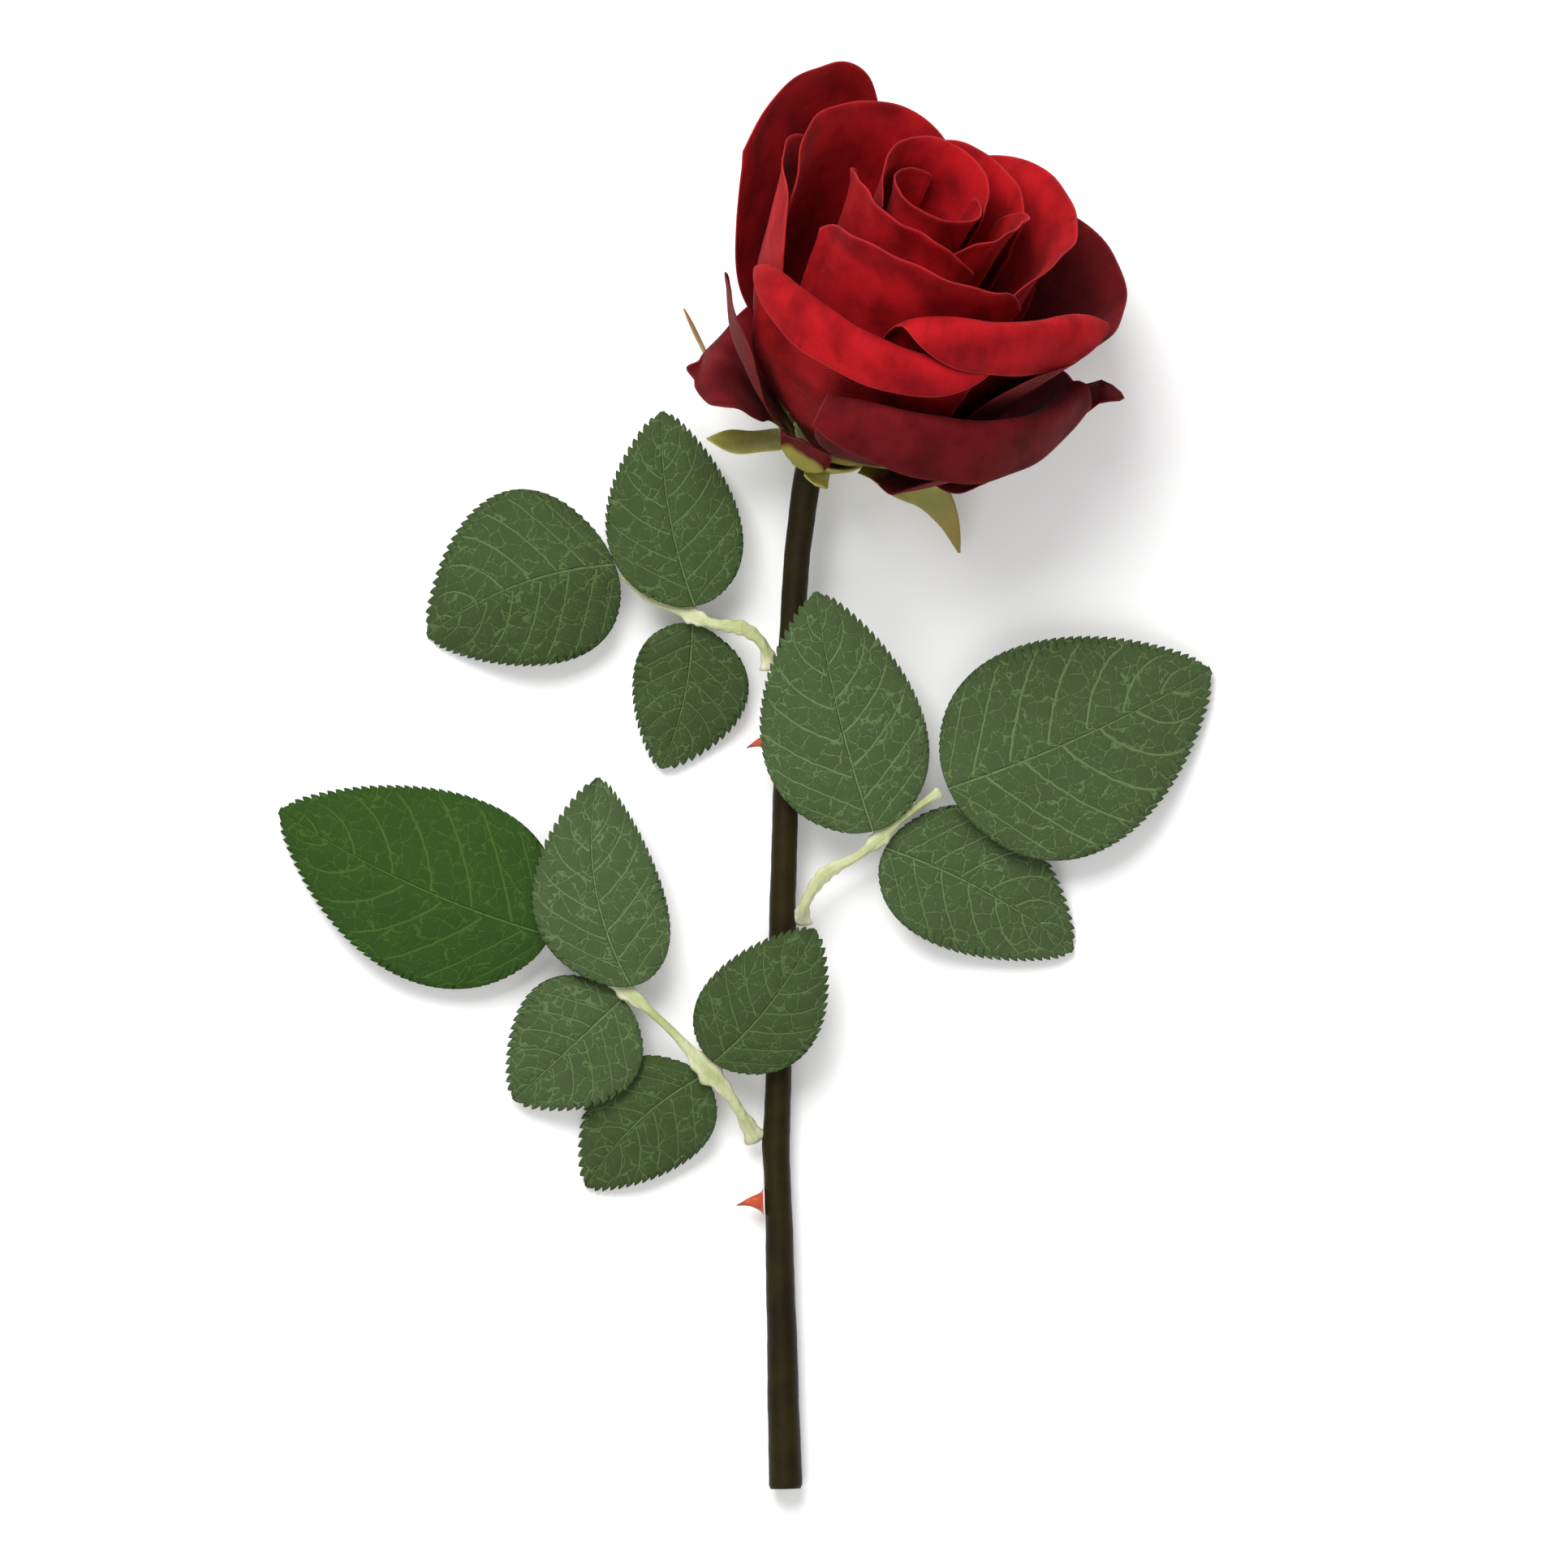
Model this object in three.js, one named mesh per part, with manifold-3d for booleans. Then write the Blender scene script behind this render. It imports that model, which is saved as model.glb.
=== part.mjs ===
// Artificial cut rose: one fabric bloom on a moulded stem with three sprays of fabric leaflets.
// Millimetres, +Z up.  The rose lies on a table at z = 0, stem along +Y, bloom at the far end.
import * as THREE from 'three';
import Module from 'manifold-3d';

// ---------------------------------------------------------------- sizes that can be set by themselves
const STEM_END_RADIUS = 4.3;      // at the cut end
const STEM_MID_RADIUS = 3.3;      // along the middle of the stem
const STEM_NECK_RADIUS = 3.6;     // just under the bloom
const STEM_LENGTH = 273;          // along the table, from the cut end to the foot of the bloom
const WIRE_RADIUS = 0.9;          // steel wire moulded into the stem
const WIRE_CLEARANCE = 0.3;
const BLOOM_SCALE = 1;            // whole flower head, 1 is about 112 mm across
const BLOOM_RISE = 34;            // degrees the flower looks up from the table
const BLOOM_TURN = 25;            // degrees it turns to the right of the stem
const PETAL_THICKNESS = 0.6;
const LEAF_SCALE = 1;             // all leaflets together
const LEAF_THICKNESS = 0.6;
const SEPAL_THICKNESS = 0.7;
const PETIOLE_RADIUS = 1.1;
const FIT_GAP = 0.4;              // left between pieces that would be glued or pushed together
const THORN_LENGTH = 7;

// ---------------------------------------------------------------- fineness of the plain solids
const PETAL_ROWS = 8;             // steps from base to rim
const PETAL_COLUMNS = 6;          // steps across
const LEAF_ROWS = 7;
const LEAF_COLUMNS = 4;
const STEM_SIDES = 12;
const PETIOLE_SIDES = 6;

const radians = THREE.MathUtils.degToRad;
const clamp = THREE.MathUtils.clamp;
const lerp = THREE.MathUtils.lerp;
const smooth = THREE.MathUtils.smoothstep;

// ---------------------------------------------------------------- materials
const COLOURS = {
  petal: { color: 0x9c0c14, roughness: 0.75 },
  leaf: { color: 0x38562c, roughness: 0.7 },
  sepal: { color: 0x9b9540, roughness: 0.6 },
  stem: { color: 0x35300c, roughness: 0.45 },
  petiole: { color: 0xc4c592, roughness: 0.5 },
  thorn: { color: 0xb03a10, roughness: 0.45 },
  wire: { color: 0x9a9a98, roughness: 0.35, metalness: 1 },
};

function piece(name, geometry, kind) {
  const mesh = new THREE.Mesh(geometry, new THREE.MeshStandardMaterial(COLOURS[kind]));
  mesh.name = name;
  return mesh;
}

// ---------------------------------------------------------------- solids from points
// One closed solid from shared corner points and triangles, with its faces turned outwards.
function closedSolid(points, faces) {
  const volume = faces.reduce((sum, [a, b, c]) => (
    sum + points[a].dot(new THREE.Vector3().crossVectors(points[b], points[c]))), 0);
  const outward = volume < 0 ? faces.map(([a, b, c]) => [a, c, b]) : faces;
  const geometry = new THREE.BufferGeometry();
  geometry.setFromPoints(points);
  geometry.setIndex(outward.flat());
  geometry.computeVertexNormals();
  return geometry;
}

// Two triangles for each cell between neighbouring rings of points; a ring may close on itself.
function bandFaces(rings, perRing, wraps) {
  const faces = [];
  const cells = wraps ? perRing : perRing - 1;
  for (let i = 0; i < rings - 1; i += 1) {
    for (let j = 0; j < cells; j += 1) {
      const a = i * perRing + j;
      const b = i * perRing + (j + 1) % perRing;
      faces.push([a, b, b + perRing], [a, b + perRing, a + perRing]);
    }
  }
  return faces;
}

// A thin sheet of even thickness from a grid of points on its middle surface.
function sheet(grid, thickness) {
  const rows = grid.length;
  const columns = grid[0].length;
  const upper = [];
  const lower = [];
  for (let i = 0; i < rows; i += 1) {
    for (let j = 0; j < columns; j += 1) {
      const along = grid[Math.min(i + 1, rows - 1)][j].clone().sub(grid[Math.max(i - 1, 0)][j]);
      const across = grid[i][Math.min(j + 1, columns - 1)].clone().sub(grid[i][Math.max(j - 1, 0)]);
      const half = along.cross(across).normalize().multiplyScalar(thickness / 2);
      upper.push(grid[i][j].clone().add(half));
      lower.push(grid[i][j].clone().sub(half));
    }
  }
  const top = bandFaces(rows, columns, false);
  const under = top.map(([a, b, c]) => [a + upper.length, c + upper.length, b + upper.length]);
  const rim = [];
  for (let j = 0; j < columns; j += 1) rim.push(j);
  for (let i = 1; i < rows; i += 1) rim.push(i * columns + columns - 1);
  for (let j = columns - 2; j >= 0; j -= 1) rim.push((rows - 1) * columns + j);
  for (let i = rows - 2; i > 0; i -= 1) rim.push(i * columns);
  const wall = rim.flatMap((a, k) => {
    const b = rim[(k + 1) % rim.length];
    return [[b, a, a + upper.length], [b, a + upper.length, b + upper.length]];
  });
  return closedSolid([...upper, ...lower], [...top, ...under, ...wall]);
}

// A smooth line through points, as evenly spaced stations with a side and a normal direction.
function stations(points, count) {
  const curve = new THREE.CatmullRomCurve3(points);
  return Array.from({ length: count + 1 }, (_, i) => {
    const share = i / count;
    const centre = curve.getPointAt(share);
    const along = curve.getTangentAt(share);
    const side = new THREE.Vector3(along.y, -along.x, 0).normalize();
    const normal = new THREE.Vector3().crossVectors(side, along).normalize();
    return { share, centre, along, side, normal };
  });
}

// Points of a round ring at one station.
function ring(station, radius, sides) {
  return Array.from({ length: sides }, (_, k) => {
    const angle = (2 * Math.PI * k) / sides;
    return station.centre.clone()
      .addScaledVector(station.side, radius * Math.cos(angle))
      .addScaledVector(station.normal, radius * Math.sin(angle));
  });
}

// A round rod along a line, closed by a flat end at each side.  radiusAt takes the share of the length.
function rod(points, radiusAt, count, sides) {
  const line = stations(points, count);
  const rings = line.flatMap((station) => ring(station, radiusAt(station.share), sides));
  const faces = bandFaces(line.length, sides, true);
  const first = rings.length;
  const last = first + 1;
  const offset = (line.length - 1) * sides;
  for (let k = 0; k < sides; k += 1) {
    const next = (k + 1) % sides;
    faces.push([first, next, k], [last, offset + k, offset + next]);
  }
  return closedSolid([...rings, line[0].centre, line[count].centre], faces);
}

// A rod with a hole along its whole length, open at both ends.
function tube(points, radiusAt, holeRadius, count, sides) {
  const line = stations(points, count);
  const outer = line.flatMap((station) => ring(station, radiusAt(station.share), sides));
  const inner = line.flatMap((station) => ring(station, holeRadius, sides));
  const shift = outer.length;
  const faces = bandFaces(line.length, sides, true);
  const hole = faces.map(([a, b, c]) => [a + shift, c + shift, b + shift]);
  const offset = (line.length - 1) * sides;
  const ends = [];
  for (let k = 0; k < sides; k += 1) {
    const next = (k + 1) % sides;
    ends.push([next, k, k + shift], [next, k + shift, next + shift]);
    ends.push([offset + k, offset + next, offset + next + shift]);
    ends.push([offset + k, offset + next + shift, offset + k + shift]);
  }
  return closedSolid([...outer, ...inner], [...faces, ...hole, ...ends]);
}

// ---------------------------------------------------------------- bloom frame
// The bloom has its own frame: +Z out of the flower, -Y towards the side that faces up, +X to the right.
const BLOOM_SIDEWAYS = 10.2;      // of the foot of the bloom, to the right of the cut end
const bloom = new THREE.Group();
bloom.position.set(BLOOM_SIDEWAYS, STEM_LENGTH, 0);
bloom.rotation.set(-radians(90 - BLOOM_RISE), 0, -radians(BLOOM_TURN), 'ZXY');

function inBloom(outward, turn, up) {
  const angle = radians(turn);
  return new THREE.Vector3(outward * Math.sin(angle), -outward * Math.cos(angle), up)
    .multiplyScalar(BLOOM_SCALE);
}

// ---------------------------------------------------------------- petals
// Each profile is a petal's middle line from base to rim: [distance from the flower's axis, height].
const PROFILES = {
  low: [[11, 0.4], [18.5, 7.2], [30, 16.8], [40, 29.6], [46, 43], [50, 49], [53.5, 48], [55, 40],
    [54, 30]],
  open: [[11, 0.4], [18.5, 7.2], [30, 16.8], [40, 28.8], [47, 42], [53, 52]],
  wide: [[9, 4.2], [17.5, 10], [29, 19.2], [38, 32], [45, 48], [51, 60], [55, 69]],
  fold: [[10, 2.4], [17.5, 9.6], [28, 20.8], [37, 34], [41, 48], [43.5, 60], [47, 64], [50.5, 61],
    [52, 52]],
  high: [[9, 4.2], [16, 11.2], [25.5, 22.4], [33.5, 36], [38, 54], [41, 70], [45, 78], [50, 77],
    [53, 66]],
  tall: [[9, 4.2], [15.8, 11.2], [26, 21.6], [34.8, 33], [40.5, 47], [45.5, 65], [47.5, 78], [46, 88]],
  cup: [[7.8, 6.1], [14, 13.6], [22.5, 24], [28.5, 38], [31.5, 56], [34, 74], [38, 84]],
  inner: [[6.2, 8.3], [10, 15.2], [15.5, 25.6], [19.5, 42], [21.5, 62], [23, 78], [25, 86]],
  wrap: [[4.8, 10.1], [7.6, 19.2], [11, 30.4], [13, 46], [13.5, 64], [14, 80], [15.5, 88]],
  spiral: [[3.3, 11], [5.4, 20], [8, 32], [9.3, 48], [10, 64], [10.7, 76], [11.7, 83]],
  core: [[1.9, 11.5], [3.2, 21.6], [4.6, 34], [5.6, 50], [6, 62], [6.4, 70], [6.8, 75]],
  lip: [[10, 2.4], [17.5, 9.6], [28, 20.8], [36, 33], [42, 46], [46, 56], [49, 60], [51, 58]],
  apron: [[12.9, -3.2], [14.6, 0], [16.8, 4], [20, 8.5], [24, 12.6], [28, 15.5]],
  side: [[11, 0.4], [16, 4.6], [22, 9.4], [28, 13.6], [32.5, 15], [35.5, 13], [36.5, 9]],
};

// turn: place round the flower, degrees; half: half the petal's width, degrees.
// length: share of the profile that is used; corner: how much shorter the sides are than the middle.
// out and up: moved from the profile; tilt: one side lies outside its neighbour by this much.
// lean: how far the base is turned back; tip: a pointed middle; flare and dip: the right corner bent
// outwards and down (leftFlare, leftDip: the left corner).
const PETALS = [
  { name: 'petal_outer_front_right', shape: 'low', turn: 42, half: 46, length: 0.97, corner: 0.14,
    out: 1, leftDip: 7 },
  { name: 'petal_outer_under_right', shape: 'open', turn: 50, half: 14, length: 0.6, corner: 0.3,
    out: 6.5, up: -3.4, tilt: -1.5, lean: -8 },
  { name: 'petal_outer_small', shape: 'apron', turn: -10, half: 22, length: 0.8, corner: 0.4, tilt: 0,
    tip: 0.12, out: 1.6 },
  { name: 'petal_outer_left', shape: 'side', turn: -78, half: 34, corner: 0.22, tip: 0.12, up: -2.6,
    leftDip: -11.5, out: 1 },
  { name: 'petal_outer_left_back', shape: 'open', turn: -127, half: 13, length: 0.72, out: -2.4,
    corner: 0.25, up: 4.5 },
  { name: 'petal_outer_back', shape: 'low', turn: 178, half: 50, length: 0.8, out: 5 },
  { name: 'petal_outer_right', shape: 'open', turn: 102, half: 32, length: 0.86, out: 8, up: -10,
    tip: 0.3, flare: 3 },
  { name: 'petal_rolled_left', shape: 'lip', turn: -56, half: 24, corner: 0.2, out: 2, lean: -12, up: -5,
    length: 0.8 },
  { name: 'petal_rolled_front_left', shape: 'fold', turn: -5, half: 46, corner: 0.16, up: 1.4,
    leftDip: 7 },
  { name: 'petal_rolled_front_right', shape: 'high', turn: 45, half: 40, corner: 0.2, up: -1, flare: 8,
    dip: 5, leftDip: 11, out: -0.3 },
  { name: 'petal_wide_right', shape: 'wide', turn: 99, half: 50, corner: 0.08, out: 1.4 },
  { name: 'petal_tall_left', shape: 'tall', turn: -121, half: 31, corner: 0.2, out: 0.6 },
  { name: 'petal_tall_back', shape: 'tall', turn: 168, half: 50, length: 0.74 },
  { name: 'petal_cup_front', shape: 'cup', turn: 8, half: 56, corner: 0.16 },
  { name: 'petal_cup_left', shape: 'cup', turn: -88, half: 38, corner: 0.2, out: 5.2, tilt: 0, lean: -28,
    leftDip: 4, length: 0.9 },
  { name: 'petal_cup_back', shape: 'cup', turn: -128, half: 58, corner: 0.16, length: 0.98 },
  { name: 'petal_cup_right', shape: 'cup', turn: 116, half: 60, corner: 0.16, flare: 3 },
  { name: 'petal_inner_front', shape: 'inner', turn: -25, half: 68, corner: 0.12 },
  { name: 'petal_inner_right', shape: 'inner', turn: 78, half: 52, corner: 0.16, out: -2.2 },
  { name: 'petal_inner_back', shape: 'inner', turn: 160, half: 58, corner: 0.16, out: 1.6, up: -3,
    tilt: 0 },
  { name: 'petal_bud_back', shape: 'wrap', turn: -158, half: 110, corner: 0.12, tip: 0.03, tilt: 1,
    out: -0.25 },
  { name: 'petal_bud_front', shape: 'spiral', turn: -12, half: 150, corner: 0.04, tilt: 1 },
  { name: 'petal_bud_centre', shape: 'core', turn: 165, half: 155, corner: 0.1, tilt: 0.8, up: -8 },
];
const PETAL_DEFAULTS = {
  length: 1, corner: 0.3, out: 0, up: 0, tilt: 2, lean: 0, tip: 0, flare: 0, dip: 0, leftFlare: 0,
  leftDip: 0,
};
const DRAWN_THICKNESS = 0.6;      // petal thickness that the rows above leave room for
const LAYERS = ['core', 'spiral', 'wrap', 'inner', 'cup', 'tall', 'wide', 'high', 'lip', 'fold', 'open',
  'low', 'side', 'apron'];      // profiles from the inside out
const BASE_WIDTH = 0.45;          // of a petal at its base, as a share of its full width
const TIP_WIDTH = 0.16;           // of a pointed tip, as a share of the half width
const WIDE_FROM = 0.5;            // share of its length where a petal has its full width
const FOOT_SETTLED = 0.5;         // share of a petal's move outwards that its foot takes
const FOOT_LENGTH = 0.25;         // share of its length where it has moved outwards in full
const RAISED_FROM = 0.2;          // a raised petal rises between these shares of its length
const RAISED_TO = 0.8;
const OVERHANG = 0.8;             // outward run of what is longer than the profile
const ROW_CROWDING = 0.8;         // below 1, the rows stand closer towards the rim

function petalGrid(row) {
  const petal = { ...PETAL_DEFAULTS, ...row };
  const line = new THREE.SplineCurve(PROFILES[petal.shape].map((point) => new THREE.Vector2(...point)));
  const full = line.getLength();
  const layerShift = LAYERS.indexOf(petal.shape) * (PETAL_THICKNESS - DRAWN_THICKNESS);
  const grid = [];
  for (let i = 0; i <= PETAL_ROWS; i += 1) {
    const along = (i / PETAL_ROWS) ** ROW_CROWDING;
    const spread = BASE_WIDTH + (1 - BASE_WIDTH) * smooth(along, 0, WIDE_FROM);
    const settle = Math.min(1, FOOT_SETTLED + ((1 - FOOT_SETTLED) * along) / FOOT_LENGTH);
    const cells = [];
    for (let j = 0; j <= PETAL_COLUMNS; j += 1) {
      const across = (2 * j) / PETAL_COLUMNS - 1;
      const side = Math.abs(across) ** 3;
      const point = Math.exp(-((across / TIP_WIDTH) ** 2));
      const travelled = along * petal.length * (1 - petal.corner * side + petal.tip * point);
      const place = line.getPointAt(Math.min(1, travelled));
      const beyond = Math.max(0, travelled - 1) * full;
      const bend = side * along ** 2;
      const flare = (across > 0 ? petal.flare : petal.leftFlare) * bend;
      const dip = (across > 0 ? petal.dip : petal.leftDip) * bend;
      const outward = place.x + (petal.tilt * across + petal.out) * settle + flare
        + OVERHANG * beyond + layerShift * smooth(along, 0, FOOT_LENGTH);
      const up = place.y + petal.up * smooth(along, RAISED_FROM, RAISED_TO) - dip;
      const turn = petal.turn - petal.lean * (1 - along) + across * petal.half * spread;
      cells.push(inBloom(outward, turn, up));
    }
    grid.push(cells);
  }
  return grid;
}

PETALS.forEach((row) => bloom.add(piece(row.name, sheet(petalGrid(row), PETAL_THICKNESS), 'petal')));

// ---------------------------------------------------------------- core and calyx of the bloom
// The core is the cone that carries the petals.  The stem's end stands FIT_GAP below it.
const CORE_BOTTOM = -4.4;
const CORE_PROFILE = [
  [0, CORE_BOTTOM], [3.4, CORE_BOTTOM], [8.2, -2], [8.9, -0.6], [8.3, 1.4], [7.2, 3.2], [6, 5.1], [4.4, 7.4],
  [3, 9], [1.6, 9.8], [0, 10.1],
];
const CALYX_HOLE = (STEM_NECK_RADIUS + 2 * FIT_GAP) / BLOOM_SCALE;
const CALYX_PROFILE = [
  [CALYX_HOLE, -8.4], [6, -7.6], [9.4, -4.8], [12.2, -1.6], [11.6, -1.2], [8.8, -3.6], [6, -6.2],
  [CALYX_HOLE, -6.8],
];
// Sepals: place round the flower, half width, middle line like a petal's profile, and how far the
// blade turns about that line, in degrees.
const SEPALS = [
  { turn: -112, half: 3.6, twist: 40, line: [[9.5, -3.6], [20, -4.5], [36, -4.5], [51, 5]] },
  { turn: -66, half: 4.6, twist: 0, line: [[9.5, -3.6], [15, -6], [22, -8], [30, -8]] },
  { turn: 12, half: 3.4, twist: 0, line: [[9.5, -4.4], [12, -5.8], [14.5, -5.4], [17, -3.4]] },
  { turn: 101, half: 4.4, twist: 80, line: [[9.5, -3.6], [20, -6], [30.8, -7], [38.5, -12.5], [45, -20.5]] },
  { turn: 172, half: 4, twist: 0, line: [[9.5, -3.6], [14, -4], [20, -3], [25, 0]] },
];
const SEPAL_ROWS = 6;
const SEPAL_TWIST_END = 0.5;      // share of its length where a sepal is fully turned
const CALYX_SIDES = 20;

function turned(profile, sides) {
  const rings = [];
  for (let k = 0; k < sides; k += 1) {
    profile.forEach(([outward, up]) => rings.push(inBloom(outward, (360 * k) / sides, up)));
  }
  return rings;
}

// A solid turned round the bloom's axis from a profile that starts and ends on the axis.
function turnedSolid(profile, sides) {
  const middle = profile.slice(1, -1);
  const rings = turned(middle, sides);
  const count = middle.length;
  const faces = bandFaces(sides, count, false);
  const bottom = rings.length;
  const top = bottom + 1;
  for (let j = 0; j < count - 1; j += 1) {
    const a = (sides - 1) * count + j;
    faces.push([a, a + 1, j + 1], [a, j + 1, j]);
  }
  for (let k = 0; k < sides; k += 1) {
    const here = k * count;
    const next = ((k + 1) % sides) * count;
    faces.push([bottom, here, next], [top, next + count - 1, here + count - 1]);
  }
  const ends = [profile[0], profile[profile.length - 1]].map(([outward, up]) => inBloom(outward, 0, up));
  return closedSolid([...rings, ...ends], faces);
}

// A solid turned round the bloom's axis from a profile that closes on itself, away from the axis.
function turnedRing(profile, sides) {
  const count = profile.length;
  const faces = [];
  for (let k = 0; k < sides; k += 1) {
    for (let j = 0; j < count; j += 1) {
      const a = k * count + j;
      const b = k * count + (j + 1) % count;
      const c = ((k + 1) % sides) * count + (j + 1) % count;
      const d = ((k + 1) % sides) * count + j;
      faces.push([a, b, c], [a, c, d]);
    }
  }
  return closedSolid(turned(profile, sides), faces);
}

function sepalGrid({ turn, half, twist, line }) {
  const spine = new THREE.SplineCurve(line.map((point) => new THREE.Vector2(...point)));
  const angle = radians(turn);
  const sideways = new THREE.Vector3(Math.cos(angle), Math.sin(angle), 0);
  const foot = inBloom(0, turn, 0);
  const grid = [];
  for (let i = 0; i <= SEPAL_ROWS; i += 1) {
    const along = i / SEPAL_ROWS;
    const place = spine.getPointAt(along);
    const width = half * Math.max(0.14, Math.sin(Math.PI * (0.22 + 0.78 * along)) ** 0.8);
    const heading = spine.getTangentAt(along);
    const upright = inBloom(-heading.y, turn, heading.x).sub(foot).normalize();
    const turned = radians(twist) * smooth(along, 0, SEPAL_TWIST_END);
    const blade = sideways.clone().multiplyScalar(Math.cos(turned))
      .addScaledVector(upright, Math.sin(turned));
    grid.push([-1, 0, 1].map((across) => (
      inBloom(place.x, turn, place.y + 0.25 * width * Math.abs(across))
        .addScaledVector(blade, across * width * BLOOM_SCALE))));
  }
  return grid;
}

const manifold = await Module();
manifold.setup();

function toManifold(geometry) {
  return new manifold.Manifold(new manifold.Mesh({
    numProp: 3,
    vertProperties: new Float32Array(geometry.getAttribute('position').array),
    triVerts: new Uint32Array(geometry.getIndex().array),
  }));
}

function fromManifold(solid) {
  const mesh = solid.getMesh();
  const geometry = new THREE.BufferGeometry();
  geometry.setAttribute('position', new THREE.BufferAttribute(mesh.vertProperties, 3));
  geometry.setIndex(new THREE.BufferAttribute(mesh.triVerts, 1));
  geometry.computeVertexNormals();
  return geometry;
}

const cup = toManifold(turnedRing(CALYX_PROFILE, CALYX_SIDES));
const calyx = SEPALS.reduce((solid, sepal) => (
  solid.add(toManifold(sheet(sepalGrid(sepal), SEPAL_THICKNESS)))), cup);
bloom.add(piece('bloom_core', turnedSolid(CORE_PROFILE, CALYX_SIDES), 'petiole'));
bloom.add(piece('calyx', fromManifold(calyx), 'sepal'));

// The bloom rests on the table by its lowest petal or sepal.
bloom.position.z = -new THREE.Box3().setFromObject(bloom, true).min.z;
bloom.updateMatrix();

// ---------------------------------------------------------------- stem
// The stem lies along the table, then turns up into the calyx along the bloom's own axis.
const STEM_TURN_UP = 7;           // length of the straight end inside and under the calyx
const stemTop = inBloom(0, 0, CORE_BOTTOM - FIT_GAP).applyMatrix4(bloom.matrix);
const stemBend = inBloom(0, 0, CORE_BOTTOM - FIT_GAP - STEM_TURN_UP).applyMatrix4(bloom.matrix);
// How far the stem bends sideways: [share of the length, distance].
const STEM_BENDS = [
  [0, 0], [0.11, -0.7], [0.245, -1.6], [0.34, -2.3], [0.4, -1.9], [0.5, -1.2], [0.6, -0.6],
  [0.69, 0.2], [0.8, 1.2], [0.9, 2.7], [0.95, 4],
];
const STEM_SAG = 2;               // the stem climbs to the bloom as this power of the distance
// Share of the length, then share of the way from the middle radius to the radius at that end.
const STEM_SWELLINGS = [[0, 1], [0.12, 0.6], [0.26, 0.15], [0.4, 0], [0.9, 0], [0.97, 1], [1, 1]];
const STEM_STEPS = 26;

function stemPath() {
  const start = new THREE.Vector3(0, 0, STEM_END_RADIUS);
  const points = STEM_BENDS.map(([share, sideways]) => new THREE.Vector3(
    sideways, lerp(start.y, stemBend.y, share), lerp(start.z, stemBend.z, share ** STEM_SAG)));
  return [...points, stemBend, stemBend.clone().lerp(stemTop, 0.5), stemTop];
}

function stemRadius(share) {
  const k = Math.max(1, STEM_SWELLINGS.findIndex(([at]) => at >= share));
  const [startShare, startSwell] = STEM_SWELLINGS[k - 1];
  const [endShare, endSwell] = STEM_SWELLINGS[k];
  const swell = lerp(startSwell, endSwell, (share - startShare) / (endShare - startShare));
  return lerp(STEM_MID_RADIUS, share < 0.5 ? STEM_END_RADIUS : STEM_NECK_RADIUS, swell);
}

const stemCurve = new THREE.CatmullRomCurve3(stemPath());
const stem = piece('stem',
  tube(stemPath(), stemRadius, WIRE_RADIUS + WIRE_CLEARANCE, STEM_STEPS, STEM_SIDES), 'stem');
const wire = piece('stem_wire', rod(stemPath(), () => WIRE_RADIUS, STEM_STEPS, PETIOLE_SIDES), 'wire');

// The stem's middle point and radius at a distance along the table.
function stemAt(y) {
  let share = y / stemBend.y;
  for (let k = 0; k < 6; k += 1) {
    share += (y - stemCurve.getPointAt(clamp(share, 0, 1)).y) / stemBend.y;
  }
  return { centre: stemCurve.getPointAt(clamp(share, 0, 1)), radius: stemRadius(share) };
}

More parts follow.
